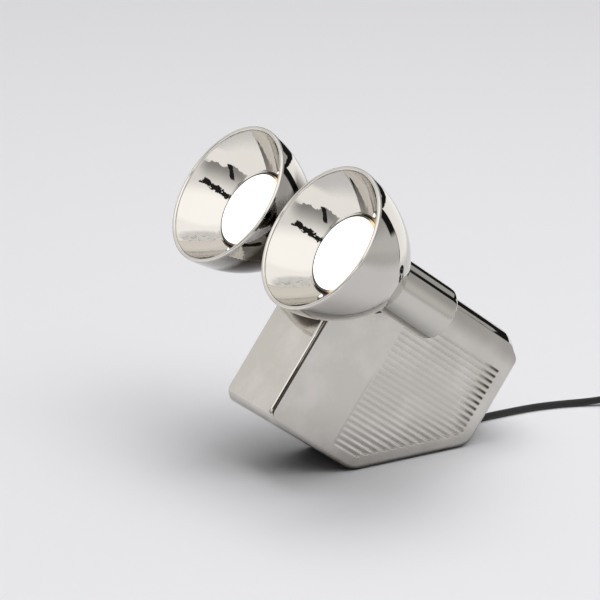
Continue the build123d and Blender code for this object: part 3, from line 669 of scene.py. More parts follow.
print("a quarter circle:", arc((1, 0), (0.6, 0.8), (0, 1), 3).round(3).tolist())

# %% [markdown]
# ## Outlines of the head
#
# On the real head a deep spun bowl holds a separate reflector. The bowl's side is one arc from
# its rim to its flat back, in a constant thickness. The reflector lies inside it: a rolled lip,
# which catches the bright line round the rim, a flatter arc, and a neck that holds the lamp. The
# disc lamp's opal front is very slightly domed, because a truly flat one would look cut out.

# %% Head outlines
head_x = 78.2 * MM
rim_radius, rim_front, lip_half = 69.2, -31.8, 1.9
bowl_back, bowl_wall, bowl_curve = 57.0, 1.6, 119.8
bowl_curve_back, bowl_curve_radius = -35.16, -50.6
reflector_curve = [(-29.9, 65.4), (-14.3, 54.6), (0.6, 39.7)]
neck_radius, neck_back, reflector_wall = 38.6, 8.0, 1.2
nipple_bore = 5.1


def bowl_radius(back, curve):
    """Radius of the bowl's side at a distance back: the height of a circle's arc there."""
    return bowl_curve_radius + np.sqrt(curve ** 2 - (back - bowl_curve_back) ** 2)


lip_back = rim_front + lip_half
bowl_front = lip_back + 1.3
inner_curve, inner_back = bowl_curve - bowl_wall, bowl_back - bowl_wall
outer_side = np.linspace(bowl_front, bowl_back - 0.6, 60)
inner_side = np.linspace(inner_back, bowl_front, 30)
bowl_outline = np.concatenate([
    np.stack([outer_side, bowl_radius(outer_side, bowl_curve)], axis=1),
    [(bowl_back, bowl_radius(bowl_back, bowl_curve) - 0.8), (bowl_back, nipple_bore),
     (inner_back, nipple_bore)],
    np.stack([inner_side, bowl_radius(inner_side, inner_curve)], axis=1),
])

dish = arc(*reflector_curve, 48)
neck_start = reflector_curve[-1][0] + 1.1
neck_turn = arc(reflector_curve[-1], (neck_start - 0.35, neck_radius + 0.45),
                (neck_start, neck_radius), 6)[1:]
dish_back = dish[::-1] + reflector_wall * 0.7
dish_back = dish_back[dish_back[:, 0] > bowl_front + 0.4]
lip = arc((lip_back, rim_radius), (rim_front, rim_radius - lip_half), reflector_curve[0], 20)
reflector_outline = np.concatenate([
    lip, dish[1:], neck_turn, [(neck_back, neck_radius), (neck_back, neck_radius + reflector_wall)],
    dish_back, [(bowl_front, rim_radius - lip_half), (bowl_front, rim_radius)],
])

lamp_radius = 37.5
lamp_edge = arc((0.0, lamp_radius - 1.0), (0.3, lamp_radius - 0.3), (1.0, lamp_radius), 6)
lens_outline = np.concatenate([[(-0.25, 0.0), (-0.2, 16.0), (-0.12, 28.0), (-0.04, 34.0)],
                               lamp_edge, [(3.0, lamp_radius), (3.0, 0.0)]])
print("outlines:", len(bowl_outline), len(reflector_outline), len(lens_outline), "points")

# %% [markdown]
# ## Arm
#
# The arm is a tube with a domed end that meets the back of the bowl. A Boolean could cut it to
# the bowl, but leaves thin triangles that a mirror shows. Instead, each line along the tube
# starts where the bowl's radius equals the line's own distance from the beam, so the front edge
# follows the bowl exactly.

# %% Arm surface
arm_rise, arm_radius, arm_wall = 1.2, 26.0, 2.0
arm_end, dome_depth, dome_edge = 122.4, 9.7, 0.9
dome_radius = (arm_radius ** 2 + dome_depth ** 2) / (2 * dome_depth)
dome_centre = arm_end + dome_depth - dome_radius
inner_radius = arm_radius - arm_wall


def arm(name, across, slot):
    """Outer and inner wall of the tube, for each angle round it, from dome to dome.

    The dome is part of a sphere. The front edge lies where the bowl's arc has the same
    distance from the beam as that line of the tube.
    """
    turn = np.linspace(0, 2 * pi, 144, endpoint=False)
    dome_angle = np.arcsin(np.linspace(0, 1, 22) * (arm_radius - dome_edge) / dome_radius)
    dome = np.stack([dome_centre + dome_radius * np.cos(dome_angle),
                     dome_radius * np.sin(dome_angle)], axis=1)
    rounded = arc(dome[-1], (arm_end - 0.15, arm_radius - 0.3), (arm_end - 1.4, arm_radius), 8)[1:]
    side = [(back, arm_radius) for back in np.linspace(arm_end - 6, bowl_back + 4, 12)]
    inside = [(bowl_back + 4, inner_radius), (arm_end - arm_wall, inner_radius),
              (arm_end + dome_depth - 2 * arm_wall, inner_radius * 0.5),
              (arm_end + dome_depth - arm_wall, 0.0)]
    fronts = []
    for radius in (arm_radius, inner_radius):
        beam_distance = np.hypot(radius * np.cos(turn), radius * np.sin(turn) + arm_rise)
        off_centre = beam_distance - bowl_curve_radius
        front = bowl_curve_back + np.sqrt(bowl_curve ** 2 - off_centre ** 2)
        fronts.append((np.minimum(front, bowl_back), radius))
    rows = [*dome, *rounded, *side, *fronts, *inside]
    back = np.stack([row[0] + 0 * turn for row in rows]) * MM
    radius = np.array([row[1] for row in rows])[:, None] * MM
    points = place(across + radius * np.cos(turn), back, arm_rise * MM + radius * np.sin(turn))
    faces = grid_faces(len(rows), len(turn))
    return close_up(mesh_object(name, points.reshape(-1, 3), faces, slot), 40)


print("arm dome radius", round(dome_radius, 1), "mm")

# %% [markdown]
# ## Hub
#
# The hub is the round boss that carries an arm on the casing's side. Its outer end follows the
# arm's tube in the same way: each line along the hub is as long as the gap at its own height.

# %% Hub surface
hub_radius, hub_start, hub_edge = 18.0, 39.0, 0.8


def hub(name, side, slot):
    """A round boss from the casing's side to the arm.

    At a height up, the arm's tube starts at the head's place less the root of the tube's
    radius squared less height squared, and the boss ends there.
    """
    turn = np.linspace(0, 2 * pi, 96, endpoint=False)
    rings = [(0.0, 0), (hub_radius - hub_edge, 0), (hub_radius, hub_edge / 20),
             (hub_radius, 0.5), (hub_radius, 1), (hub_radius * 0.6, 1), (0.0, 1)]
    radius, share = np.array(rings).T[..., None]
    up = radius * np.sin(turn)
    meets = head_x / MM - np.sqrt(arm_radius ** 2 - (up - arm_rise) ** 2)
    across = hub_start + (meets - hub_start) * share
    points = place(side * across * MM, pivot_back + radius * np.cos(turn) * MM, up * MM)
    return close_up(mesh_object(name, points.reshape(-1, 3), grid_faces(len(rings), len(turn)),
                                slot))


print("hub", hub_radius * 2, "mm across")

# %% [markdown]
# ## A head at each side
#
# The two heads are mirror images, so a loop builds both. Each rides on its own body, so that it
# tilts with the model, and each shell takes the place of its CAD node. What lies hidden inside
# keeps its CAD shape.

# %% Heads
for name, side in (("left", 1), ("right", -1)):
    across = side * head_x
    made = {
        "bowl": (turned(f"{name}_bowl_shell", bowl_outline, across, "silver_head"), bowl_silver),
        "reflector": (turned(f"{name}_reflector_dish", reflector_outline, across, "silver_head"),
                      dish_silver),
        "lamp_diffuser": (turned(f"{name}_lamp_front", lens_outline, across, "opal"), None),
        "arm_tube": (arm(f"{name}_arm", across, "silver_head"), arm_silver),
        "pivot_hub": (hub(f"{name}_hub", side, "silver_hub"), hub_silver),
    }
    for cad_node, (piece, finish) in made.items():
        if finish:
            piece.data.materials.append(finish)
        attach(piece, f"{name}_head")
        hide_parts(f"{name}_{cad_node}")
    print(name, "head:", list(made))

# %% [markdown]
# ## Casing outline
#
# Seen from the side, the casing is a five-cornered outline. It is 76 mm thick, and each corner
# is rounded to a true arc, because a coarse corner would flash in the reflections. The points
# keep their outward direction, since the edges turn from it.

# %% Casing outline
body_width = 76.0
body_front, body_rear, body_top, body_bottom = 50.2, 272.2, 28.4, -158.8
foot_start = 165.6
foot_end = body_bottom + (body_rear - foot_start) * tan(rise)
corners = np.array([(body_front, body_top), (body_rear, body_top), (body_rear, foot_end),
                    (foot_start, body_bottom), (body_front, body_bottom)])
roundings = [8.0, 22.0, 20.0, 30.0, 12.0]


def rounded_loop(corners, roundings, arc_step=radians(2.5), run_step=4.0):
    """Points and outward directions round a clockwise polygon whose corners are true arcs.

    An arc's centre lies inwards from its corner, against the sum of both sides' outward
    directions, by the radius divided by one plus their dot product.
    """
    arcs = []
    for corner, before, after, radius in zip(corners, np.roll(corners, 1, axis=0),
                                             np.roll(corners, -1, axis=0), roundings):
        along_in = (corner - before) / np.linalg.norm(corner - before)
        along_out = (after - corner) / np.linalg.norm(after - corner)
        out_in, out_out = (np.array([-along[1], along[0]]) for along in (along_in, along_out))
        sweep = np.arccos(np.clip(out_in @ out_out, -1, 1))
        centre = corner - radius * (out_in + out_out) / (1 + out_in @ out_out)
        steps = max(3, int(sweep / arc_step)) + 1
        angles = atan2(out_in[1], out_in[0]) - np.linspace(0, sweep, steps)
        outward = np.stack([np.cos(angles), np.sin(angles)], axis=1)
        arcs.append((centre + radius * outward, outward))
    points, outward = [], []
    for (ends, directions), (starts, _) in zip(arcs, arcs[1:] + arcs[:1]):
        run = starts[0] - ends[-1]
        steps = max(2, int(np.linalg.norm(run) / run_step)) + 1
        share = np.linspace(0, 1, steps)[1:-1, None]
        points += [ends, ends[-1] + run * share]
        outward += [directions, np.repeat(directions[-1:], len(share), axis=0)]
    return np.concatenate(points), np.concatenate(outward)


loop, loop_out = rounded_loop(corners, roundings)
print("outline:", len(loop), "points, back", loop[:, 0].min().round(1), "to",
      loop[:, 0].max().round(1))

# %% [markdown]
# ## Edges that turn at different speeds
#
# Polishing softens an edge unevenly, so the casing's edges don't turn from the side to the rim
# with one radius, as a Bevel modifier would do. Along the top the radius is tight at first and
# wide from fifty degrees on, which crowns the top. Elsewhere it is an even few millimetres.
# Adding up small steps of radius times cosine and sine gives the edge's profile.

# %% Edge profiles round the outline
side_edge, front_edge, shoulder_edge, top_fillet = 5.0, 4.5, 38.0, 1.0
shoulder_angle = radians(50)
fine_angles = np.linspace(0, pi / 2, 361)
kept_angles = np.unique(np.concatenate([np.linspace(0, 60, 13), np.linspace(60, 90, 13)]))


def soft_step(value, low, high):
    """0 below low, 1 above high, and a smooth ramp between."""
    share = np.clip((value - low) / (high - low), 0, 1)
    return share * share * (3 - 2 * share)


facing_up = loop_out[:, 1] + 0.25 * np.maximum(loop_out[:, 0], 0)
facing_up = soft_step(facing_up, 0.25, 0.95)[:, None]
facing_front = soft_step(-loop_out[:, 0], 0.5, 0.95)[:, None]
plain = side_edge + (front_edge - side_edge) * facing_front
wide = soft_step(fine_angles, shoulder_angle - 0.05, shoulder_angle + 0.05)[None, :]
on_top = top_fillet + (shoulder_edge - top_fillet) * wide
edge_radius = plain * (1 - facing_up) + on_top * facing_up
angle_step = fine_angles[1] - fine_angles[0]
inward = np.cumsum(edge_radius * np.sin(fine_angles) * angle_step, axis=1)
raised = np.cumsum(edge_radius * np.cos(fine_angles) * angle_step, axis=1)
kept = np.searchsorted(fine_angles, np.radians(kept_angles) - 1e-9)
inward, raised = (values[:, kept] - values[:, :1] for values in (inward, raised))
inset = raised[:, -1:] - raised
edge_across = body_width / 2 - inward
edge_across[:, 0] = body_width / 2
rim_back = loop[:, :1] - loop_out[:, :1] * inset
rim_up = loop[:, 1:] - loop_out[:, 1:] * inset
lean_out, lean_side = (np.broadcast_to(turn(np.radians(kept_angles)), inset.shape)
                       for turn in (np.sin, np.cos))
print("rim insets", raised[:, -1].min().round(2), "to", raised[:, -1].max().round(2), "mm")

# %% [markdown]
# ## Ribs
#
# The ribs are fine grooves in the lower rear of each side, and they run along the beam. Their
# valleys are deepest near the rear and along the foot, and nearly vanish towards the middle of
# the field, as if the mould had been rubbed there. A bump map could draw them, but real depth
# catches reflections at any angle. The grid has ten rows to a rib, because a mirror finish shows
# every facet, but few columns, because nothing changes fast along the ribs.

# %% Rib field
rib_front, rib_rear, rib_top, rib_bottom = 130.0, 258.0, -6.0, -147.6
rib_count, rib_inset, rib_margin, rib_fade = 24, 12.0, 4.0, 3.5
rib_pitch = (rib_top - rib_bottom) / rib_count
rows_in_rib, column_step = 10, 1.5
least_depth, patch_depth, edge_depth = 0.19, 0.10, 0.50


def foot_line(up, inset):
    """How far back a line lies that runs along the foot face, moved in by inset."""
    return foot_start + (up - body_bottom - inset / cos(rise)) / tan(rise)


def valley_depth(back, up):
    """Depth of the side's surface below its flat face, in millimetres.

    A cosine across the ribs, times a depth that grows near the rear and the foot, times a
    fade over the last few millimetres inside the field's outline.
    """
    to_foot = (foot_line(up, rib_inset) - back) * sin(rise)
    edges = [back - rib_front, rib_rear - back, rib_top - up, up - rib_bottom, to_foot]
    near_edge = np.maximum(1 - soft_step(rib_rear - back, 0, 38), 1 - soft_step(to_foot, 0, 30))
    patchy = 0.5 + 0.5 * np.sin(back / 23 + 1.3) * np.sin(up / 17 + 0.6)
    depth = least_depth + patch_depth * patchy + edge_depth * near_edge
    across_rib = 0.5 - 0.5 * np.cos(2 * pi * (rib_top - up) / rib_pitch)
    return depth * across_rib * soft_step(np.minimum.reduce(edges), 0, rib_fade)


field_up = np.linspace(rib_top + rib_margin, rib_bottom - rib_margin,
                       (rib_count + 2) * rows_in_rib + 1)
field_start = rib_front - rib_margin
field_end = np.minimum(rib_rear + rib_margin, foot_line(field_up, rib_inset - rib_margin))
columns = int((rib_rear - rib_front) / column_step)
field_back = field_start + (field_end - field_start)[:, None] * np.linspace(0, 1, columns)
field_up = np.repeat(field_up[:, None], columns, axis=1)
depth = valley_depth(field_back, field_up)
by_back, by_up = ((valley_depth(field_back + back, field_up + up)
                   - valley_depth(field_back - back, field_up - up)) / 0.02
                  for back, up in ((0.01, 0), (0, 0.01)))
border = np.ones_like(depth, bool)
border[1:-1, 1:-1] = False
depth[border] = 0
print("rib field", depth.shape, "deepest valley", depth.max().round(2), "mm")

# %% [markdown]
# ## The casing's three kinds of grid
#
# Rim, rib fields and foot recess are separate grids, because each has its own natural
# parameters. Each gives its points, the surface's true direction at each of them, and its faces.
# The rim stays open along the foot, where the recess takes the base plate.

# %% Casing grids
recess_x, recess_y, recess_round = 62.0, 104.0, 8.0
recess_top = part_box("base_plate")[1].z
foot_plane = place(0, body_rear * MM, foot_end * MM)[2]
half_width = body_width / 2 * MM


def directions(side_part, back_part, up_part):
    """Unit directions from their parts along the lamp's three own directions."""
    aim = side_part[..., None] * SIDE + back_part[..., None] * BACK + up_part[..., None] * UP
    return aim / np.linalg.norm(aim, axis=-1, keepdims=True)


def both_sides(side, other):
    """A grid's values on the left side, then the other values in reverse on the right."""
    return np.concatenate([side, other[:, ::-1]], axis=1)


def rim_grid():
    """The rim from one side's flat face to the other's, without the foot's flat run.

    One parameter runs round the outline, the other along the edge profile and back.
    """
    back, up = both_sides(rim_back, rim_back), both_sides(rim_up, rim_up)
    out = both_sides(lean_out, lean_out)
    points = place(both_sides(edge_across, -edge_across) * MM, back * MM, up * MM)
    aims = directions(both_sides(lean_side, -lean_side), out * loop_out[:, :1],
                      out * loop_out[:, 1:])
    faces = grid_faces(*out.shape, closed_columns=False, closed_rows=True)
    strips = out.shape[1] - 1
    on_foot = np.abs(points[:, strips // 2, 2] - foot_plane) < 1e-6
    flat_run = np.repeat(on_foot & np.roll(on_foot, -1), strips)
    middle_strip = np.arange(len(faces)) % strips == strips // 2
    return points, aims, faces[~(middle_strip & flat_run)]


def rib_grid(side):
    """The rib field of one side: its flat face less the valley depth at each (back, up).

    The border is flat and faces straight out.
    """
    points = place(side * (body_width / 2 - depth) * MM, field_back * MM, field_up * MM)
    aims = directions(side * np.ones_like(depth), by_back, by_up)
    aims[border] = SIDE * side
    return points, aims, grid_faces(*depth.shape, closed_columns=False)


def recess_grid():
    """The recess in the foot: its wall, then its ceiling drawn in to the middle."""
    x, y = recess_x / 2, recess_y / 2
    bed, _ = rounded_loop(np.array([(-x, y), (x, y), (x, -y), (-x, -y)]), [recess_round] * 4,
                          radians(7.5), 12.0)
    rings = [(foot_plane, 1.0), (recess_top, 1.0), (recess_top, 0.0)]
    points = np.stack([np.column_stack([bed * MM * share, np.full(len(bed), height)])
                       for height, share in rings])
    return points, np.zeros_like(points), grid_faces(*points.shape[:2])


grids = [rim_grid(), rib_grid(1), rib_grid(-1), recess_grid()]
print("grids:", [points.shape[:2] for points, _, _ in grids])

# %% [markdown]
# ## Joining the casing's surfaces
#
# Between the grids lie only flat areas, two sides and the foot face, so each is filled with
# triangles inside its own plane. Averaged normals would let those long triangles smear the rim's
# turn across the mirror. So the true directions, known from the formulas, are stored as the
# mesh's normals.


# %% Casing mesh
def casing_mesh():
    """All grids as one mesh, closed and filled, with each point's direction as *aim*."""
    firsts = np.cumsum([0] + [points[..., 0].size for points, _, _ in grids[:-1]])
    piece = mesh_object("casing_shell",
                        np.concatenate([points.reshape(-1, 3) for points, _, _ in grids]),
                        np.concatenate([grid[2] + first for grid, first in zip(grids, firsts)]),
                        "silver_casing")
    aims = np.concatenate([aims.reshape(-1, 3) for _, aims, _ in grids])
    aim = piece.data.attributes.new("aim", "FLOAT_VECTOR", "POINT")
    aim.data.foreach_set("vector", aims.astype(np.float32).ravel())
    shape = merged(piece)
    open_edges = [edge for edge in shape.edges if edge.is_boundary]
    for axis, level in ((0, half_width), (0, -half_width), (2, foot_plane)):
        flat = [edge for edge in open_edges
                if all(abs(corner.co[axis] - level) < 1e-6 for corner in edge.verts)]
        bmesh.ops.triangle_fill(shape, edges=flat, use_beauty=True)
    bmesh.ops.recalc_face_normals(shape, faces=shape.faces)
    still_open = sum(edge.is_boundary for edge in shape.edges)
    shape.to_mesh(piece.data)
    shape.free()
    print("casing:", len(piece.data.polygons), "faces,", still_open, "open edges")
    return piece


def true_normals(piece):
    """Stores each corner's known direction, or its face's where no direction was given."""
    mesh = piece.data
    mesh.shade_smooth()
    aims = read(mesh.attributes["aim"].data, "vector", 3, np.float32)
    by_corner = aims[read(mesh.loops, "vertex_index", 1, np.int32)]
    by_face = np.repeat(read(mesh.polygons, "normal", 3, np.float32),
                        read(mesh.polygons, "loop_total", 1, np.int32), axis=0)
    agreement = np.einsum("ij,ij->i", by_corner, by_face)
    unset = (np.linalg.norm(by_corner, axis=1) < 0.5) | (agreement < 0.3)
    by_corner[unset] = by_face[unset]
    mesh.normals_split_custom_set(by_corner.tolist())
    mesh.attributes.remove(mesh.attributes["aim"])


casing = casing_mesh()
true_normals(casing)
casing.data.materials.append(casing_silver)
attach(casing, "casing")
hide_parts("body_shell")

# %% [markdown]
# ## Painted shade in the ribs
#
# Painted shade darkens the rib valleys, most at their ends, and a thin line along the ribs' front
# border. It could be an image texture, but the places follow from the shape. So both are found
# by their distances along the beam's own directions, with noise to tear the edges.


# %% Painted shade in the ribs
def valley_shade(tree, spot, back, up):
    """Painted shade at the ends of the valleys, strongest at the upper rear, and faintly all along
    them.
    """
    torn = times(tree, maths(tree, "SUBTRACT", noise(tree, spot, 170.0, 3.0), 0.5), 12 * MM)
    turns = times(tree, maths(tree, "SUBTRACT", rib_top * MM, up), 2 * pi / (rib_pitch * MM))
    valley = ramp(tree, maths(tree, "COSINE", turns), 0.2, -0.98)
    above_foot = maths(tree, "SUBTRACT", up, (body_bottom + rib_inset / cos(rise)) * MM)
    foot = maths(tree, "ADD", times(tree, above_foot, 1 / tan(rise)), foot_start * MM)
    from_foot = maths(tree, "SUBTRACT", foot, back)
    from_rear = maths(tree, "SUBTRACT", rib_rear * MM, back)
    from_front = maths(tree, "SUBTRACT", back, rib_front * MM)
    at_rear = stretch(tree, up, -84 * MM, -48 * MM, 0.2, 1.0, "SMOOTHSTEP")
    dark = times(tree, ramp(tree, from_front, 0.0, 4 * MM), 0.10)
    for distance, reach, strength in ((from_rear, 26 * MM, at_rear), (from_foot, 12 * MM, 0.22)):
        end = region(tree, (maths(tree, "ADD", distance, torn), reach, 3 * MM),
                     (distance, 0.0, 2 * MM))
        dark = maths(tree, "MAXIMUM", dark, times(tree, end, strength))
    field = region(tree, (up, rib_bottom * MM, (rib_bottom + 1) * MM),
                   (up, rib_top * MM, (rib_top - 1) * MM),
                   (from_foot, 0.0, MM), (from_rear, 0.0, MM))
    return times(tree, times(tree, valley, dark), field)


def border_shade_line(tree, back, up):
    """A thin line of painted shade down the front border of the ribs, except near its top."""
    off_line = maths(tree, "ABSOLUTE", maths(tree, "SUBTRACT", back, rib_front * MM))
    line = region(tree, (off_line, 1.8 * MM, 0.4 * MM),
                  (up, rib_bottom * MM, (rib_bottom + 6) * MM),
                  (up, (rib_top - 50) * MM, (rib_top - 90) * MM))
    return times(tree, line, 0.13)


print("rib pitch", round(rib_pitch, 2), "mm")

# %% [markdown]
# ## Painted reflection on the front turn
#
# The tight turn between the front and the sides gets a painted dark reflection, and the sides
# are a little darker towards the top. Both follow the way the surface faces, so the normal finds
# them.


# %% Painted shade on the casing
def crease_reflection_and_top_band(tree, normal, up):
    """A painted dark reflection on the front turn, and a darker band near the top of the sides."""
    forwards = dot(tree, normal, -BACK)
    upwards = maths(tree, "ABSOLUTE", dot(tree, normal, UP))
    sideways = maths(tree, "ABSOLUTE", dot(tree, normal, SIDE))
    turn = region(tree, (forwards, 0.16, 0.28), (forwards, 0.64, 0.56), (upwards, 0.25, 0.15))
    darker_top = region(tree, (up, -3 * MM, 14 * MM), (sideways, 0.85, 0.97))
    return maths(tree, "MAXIMUM", turn, times(tree, darker_top, 0.34))


def painted_shade_mask(tree):
    """1 where painted shade and painted reflection darken the casing, 0 where its colour stays."""
    spot = node(tree, "TexCoord").outputs
    back, up = (maths(tree, "SUBTRACT", dot(tree, spot["Object"], way), float(DISC @ way))
                for way in (BACK, UP))
    ribs = maths(tree, "MAXIMUM", valley_shade(tree, spot["Object"], back, up),
                 border_shade_line(tree, back, up))
    return maths(tree, "MAXIMUM", ribs, crease_reflection_and_top_band(tree, spot["Normal"], up))


coat = casing_silver.node_tree
coat_colour = coat.nodes["Principled BSDF"].inputs["Base Color"]
unmarked_colour = coat_colour.links[0].from_socket
# Painted shade and painted reflection: where the mask is 1, the casing's colour goes to near black.
coat.links.new(tinted(coat, painted_shade_mask(coat), unmarked_colour, (0.055, 0.045, 0.036)), coat_colour)
print("casing silver:", len(coat.nodes), "nodes")

# %% [markdown]
# ## Small finishes
#
# The rest is what such a lamp is put together with: zinc-plated steel, cast iron, brass pins,
# rubber, black moulded plastic and white lamp plastic. They differ in little but a few values,
# so each is one row of a table: two shades it drifts between, a range of roughness, and for some
# a metal share, grain and bump height.


# %% Plain finishes
def plain_finish(name, low, high, roughness, metallic=0.0, grain=0.004, height=0.00002):
    """A solid colour that drifts between two shades, with smudged roughness and fine grain."""
    material, tree, shader = blank(name)
    touch = use(tree, smudges, Size=0.02, Low=roughness[0], High=roughness[1])
    shape = use(tree, waves, Size=grain, Height=height, Fine=0.6)
    dress(tree, shader, tinted(tree, touch.outputs["Mask"], low, high), touch, shape, metallic)
    return material


plain_finishes = {
    "zinc_steel": ("zinc_steel", (0.56, 0.57, 0.58), (0.64, 0.64, 0.63), (0.25, 0.42), 1.0),
    "iron": ("cast_iron", (0.05, 0.05, 0.055), (0.09, 0.085, 0.08), (0.6, 0.85), 0.7, 0.003, 6e-5),
    "brass": ("pin_brass", (0.72, 0.55, 0.26), (0.80, 0.64, 0.34), (0.2, 0.35), 1.0),
    "pad_rubber": ("pad_rubber", (0.022, 0.022, 0.023), (0.04, 0.04, 0.04), (0.7, 0.9)),
    "gland_rubber": ("gland_rubber", (0.014, 0.014, 0.015), (0.03, 0.03, 0.03), (0.5, 0.7)),
    "fibre": ("washer_fibre", (0.16, 0.07, 0.035), (0.22, 0.11, 0.06), (0.7, 0.9), 0.0, 0.001),
    "lamp_white": ("lamp_white", (0.78, 0.77, 0.74), (0.84, 0.83, 0.80), (0.3, 0.45)),
    "holder_white": ("holder_white", (0.72, 0.71, 0.67), (0.80, 0.79, 0.75), (0.4, 0.55)),
    "block_white": ("block_white", (0.70, 0.70, 0.64), (0.78, 0.78, 0.72), (0.45, 0.6)),
    "black_plastic": ("black_plastic", (0.012, 0.012, 0.013), (0.022, 0.022, 0.023),
                      (0.32, 0.5), 0.0, 0.0012, 1.5e-5),
    "lead_sleeve": ("lead_sleeve", (0.70, 0.70, 0.70), (0.8, 0.8, 0.8), (0.3, 0.45)),
    "tie_black": ("tie_black", (0.012, 0.012, 0.014), (0.03, 0.03, 0.033), (0.8, 0.95), 0.0,
                  0.0015, 1e-4),
}
finishes = {slot: plain_finish(*recipe) for slot, recipe in plain_finishes.items()}
finishes.update(silver_casing=casing_silver, silver_head=arm_silver, silver_hub=hub_silver)
print("finishes:", ", ".join(finishes))

# %% [markdown]
# ## Braided cloth
#
# The cord's cover is two sets of strands that wind round it in opposite directions. Thousands of
# modelled strands would be too many triangles for something this thin. So on the cord's own UV
# map each set is a sine along a slanted direction, and the higher strand wins.


# %% Braid
def braided_cloth(name, dark, light, strands=12, lay=0.55):
    """Cotton braid; height = max over both hands of sin 2 pi strands (u +- lay v)."""
    material, tree, shader = blank(name)
    uv = node(tree, "UVMap", {"uv_map": "braid"}).outputs[0]
    round_it, along_it = node(tree, "SeparateXYZ", i0=uv).outputs[:2]
    heights = []
    for hand in (1, -1):
        phase = maths(tree, "ADD", times(tree, round_it, float(strands)),
                      times(tree, along_it, hand * strands * lay))
        heights.append(maths(tree, "SINE", times(tree, phase, 2 * pi)))
    mask = stretch(tree, maths(tree, "MAXIMUM", *heights), -0.6, 1.0)
    bump = node(tree, "Bump", Height=times(tree, mask, 0.12 * MM), Strength=1.0,
                Distance=1.0)
    # Painted shade: the cloth's colour is darker where the strands lie low, between them.
    tree.links.new(tinted(tree, mask, dark, light), shader.inputs["Base Color"])
    tree.links.new(bump.outputs["Normal"], shader.inputs["Normal"])
    shader.inputs["Roughness"].default_value = 0.85
    shader.inputs["Sheen Weight"].default_value = 0.25
    shader.inputs["Sheen Roughness"].default_value = 0.5
    return material


finishes["cord_cloth"] = braided_cloth("cord_cloth", (0.003, 0.003, 0.004),
                                       (0.016, 0.016, 0.018))
print("braid:", len(finishes["cord_cloth"].node_tree.nodes), "nodes")

# %% [markdown]
# ## The lit lamp
#
# The opal front glows evenly, because the real lamp spreads its light well, so it is a surface
# that gives off light and needs no lamp inside. Only the outermost ring is darker, where the
# front meets its housing, and on one side it carries a painted reflection of brass.


# %% Lit opal
def lit_opal(name, strength):
    """White light all over the front, with a dark ring that turns warm towards +X: a painted
    reflection of brass.
    """
    material, tree, shader = blank(name)
    spot = node(tree, "TexCoord").outputs["Object"]
    distances = [node(tree, "VectorMath", {"operation": "DISTANCE"}, i0=spot,
                      i1=tuple(place(x, 0.0, 0.0))).outputs["Value"] for x in (head_x, -head_x)]
    in_ring = ramp(tree, maths(tree, "MINIMUM", *distances), 35.2 * MM, 35.8 * MM)
    x = dot(tree, spot, SIDE)
    off_middle = maths(tree, "SUBTRACT", x, times(tree, maths(tree, "SIGN", x), head_x))
    # Painted reflection: the ring's glow turns warm like brass towards +X.
    ring = tinted(tree, ramp(tree, off_middle, 4 * MM, 14 * MM), (0.035, 0.028, 0.02),
                  (0.74, 0.52, 0.26))
    tree.links.new(tinted(tree, in_ring, (1.0, 0.985, 0.955), ring),
                   shader.inputs["Emission Color"])
    tree.links.new(tinted(tree, in_ring, (0.9, 0.9, 0.88), (0.03, 0.025, 0.02)),
                   shader.inputs["Base Color"])
    shader.inputs["Roughness"].default_value = 0.35
    shader.inputs["Emission Strength"].default_value = strength
    return material


finishes["opal"] = lit_opal("lit_opal", 1.35)
print("lit opal:", len(finishes["opal"].node_tree.nodes), "nodes")

# %% [markdown]
# ## Finishing what the CAD already shapes right
#
# Plug, switch, tie and gland already have their true shape. Their CAD meshes are loose
# triangles, which can't be shaded smoothly, so what shows from outside is copied, merged and
# given a fine bevel. A sharp edge never looks real, because every real edge catches a thin line
# of light.

# %% Smooth copies
slot_of = {part["node"]: part["material_slot"] for part in frame["record"]["subparts"]}


def smooth_copy(cad_node, name, body, bevel, crease=30):
    """A merged, smoothly shaded copy of a CAD node, with small bevels on its real edges."""
    piece = bpy.data.objects.new(name, frame["nodes"][cad_node].data.copy())
    piece.data.materials.clear()
    bpy.context.scene.collection.objects.link(piece)
    close_up(piece, crease)
    edges = piece.modifiers.new("edges", "BEVEL")
    edges.width = bevel
    edges.segments = 2
    edges.limit_method = "ANGLE"
    edges.angle_limit = radians(crease)
    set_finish(piece, slot_of[cad_node])
    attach(piece, body)
    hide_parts(cad_node)
    return piece


copies = {row[0]: smooth_copy(*row) for row in (
    ("plug_body", "plug_moulding", "casing", 0.3 * MM),
    ("plug_pins", "plug_prongs", "casing", 0.1 * MM),
    ("switch_cover", "switch_top", "casing", 0.2 * MM),
    ("switch_base", "switch_bottom", "casing", 0.2 * MM),
    ("switch_rocker", "rocker", "switch_rocker", 0.25 * MM),
    ("coil_tie", "coil_strap", "casing", 0.15 * MM),
    ("cord_gland", "gland", "casing", 0.3 * MM))}
print("smooth copies:", len(copies))

# %% [markdown]
# ## A finish for every piece
#
# Every piece knows its slot from the record. Each one that hasn't a material of its own yet
# takes its slot's finish, and CAD pieces lose the plain colour that they came with.

# %% Finishes on all pieces
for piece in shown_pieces():
    slot = piece.get("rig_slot") or slot_of[piece["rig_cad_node"]]
    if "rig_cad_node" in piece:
        piece.data.materials.clear()
    if not piece.data.materials:
        piece.data.materials.append(finishes[slot])

# %% [markdown]
# ## The cords' lengths
#
# The first stretch ends in the switch. The second runs from the switch through the tied coil to
# the plug. Only their lengths are printed here.

# %% Cord lengths
print("cords:", round(first_length, 3), "and", round(second_length, 3), "m")

# %% [markdown]
# ## Table
#
# The table is pale and matte. An endless floor would fill the lower half of every reflection, so
# it ends a little outside the view. There it fades out, and the metal can mirror what lies
# beyond its edge.

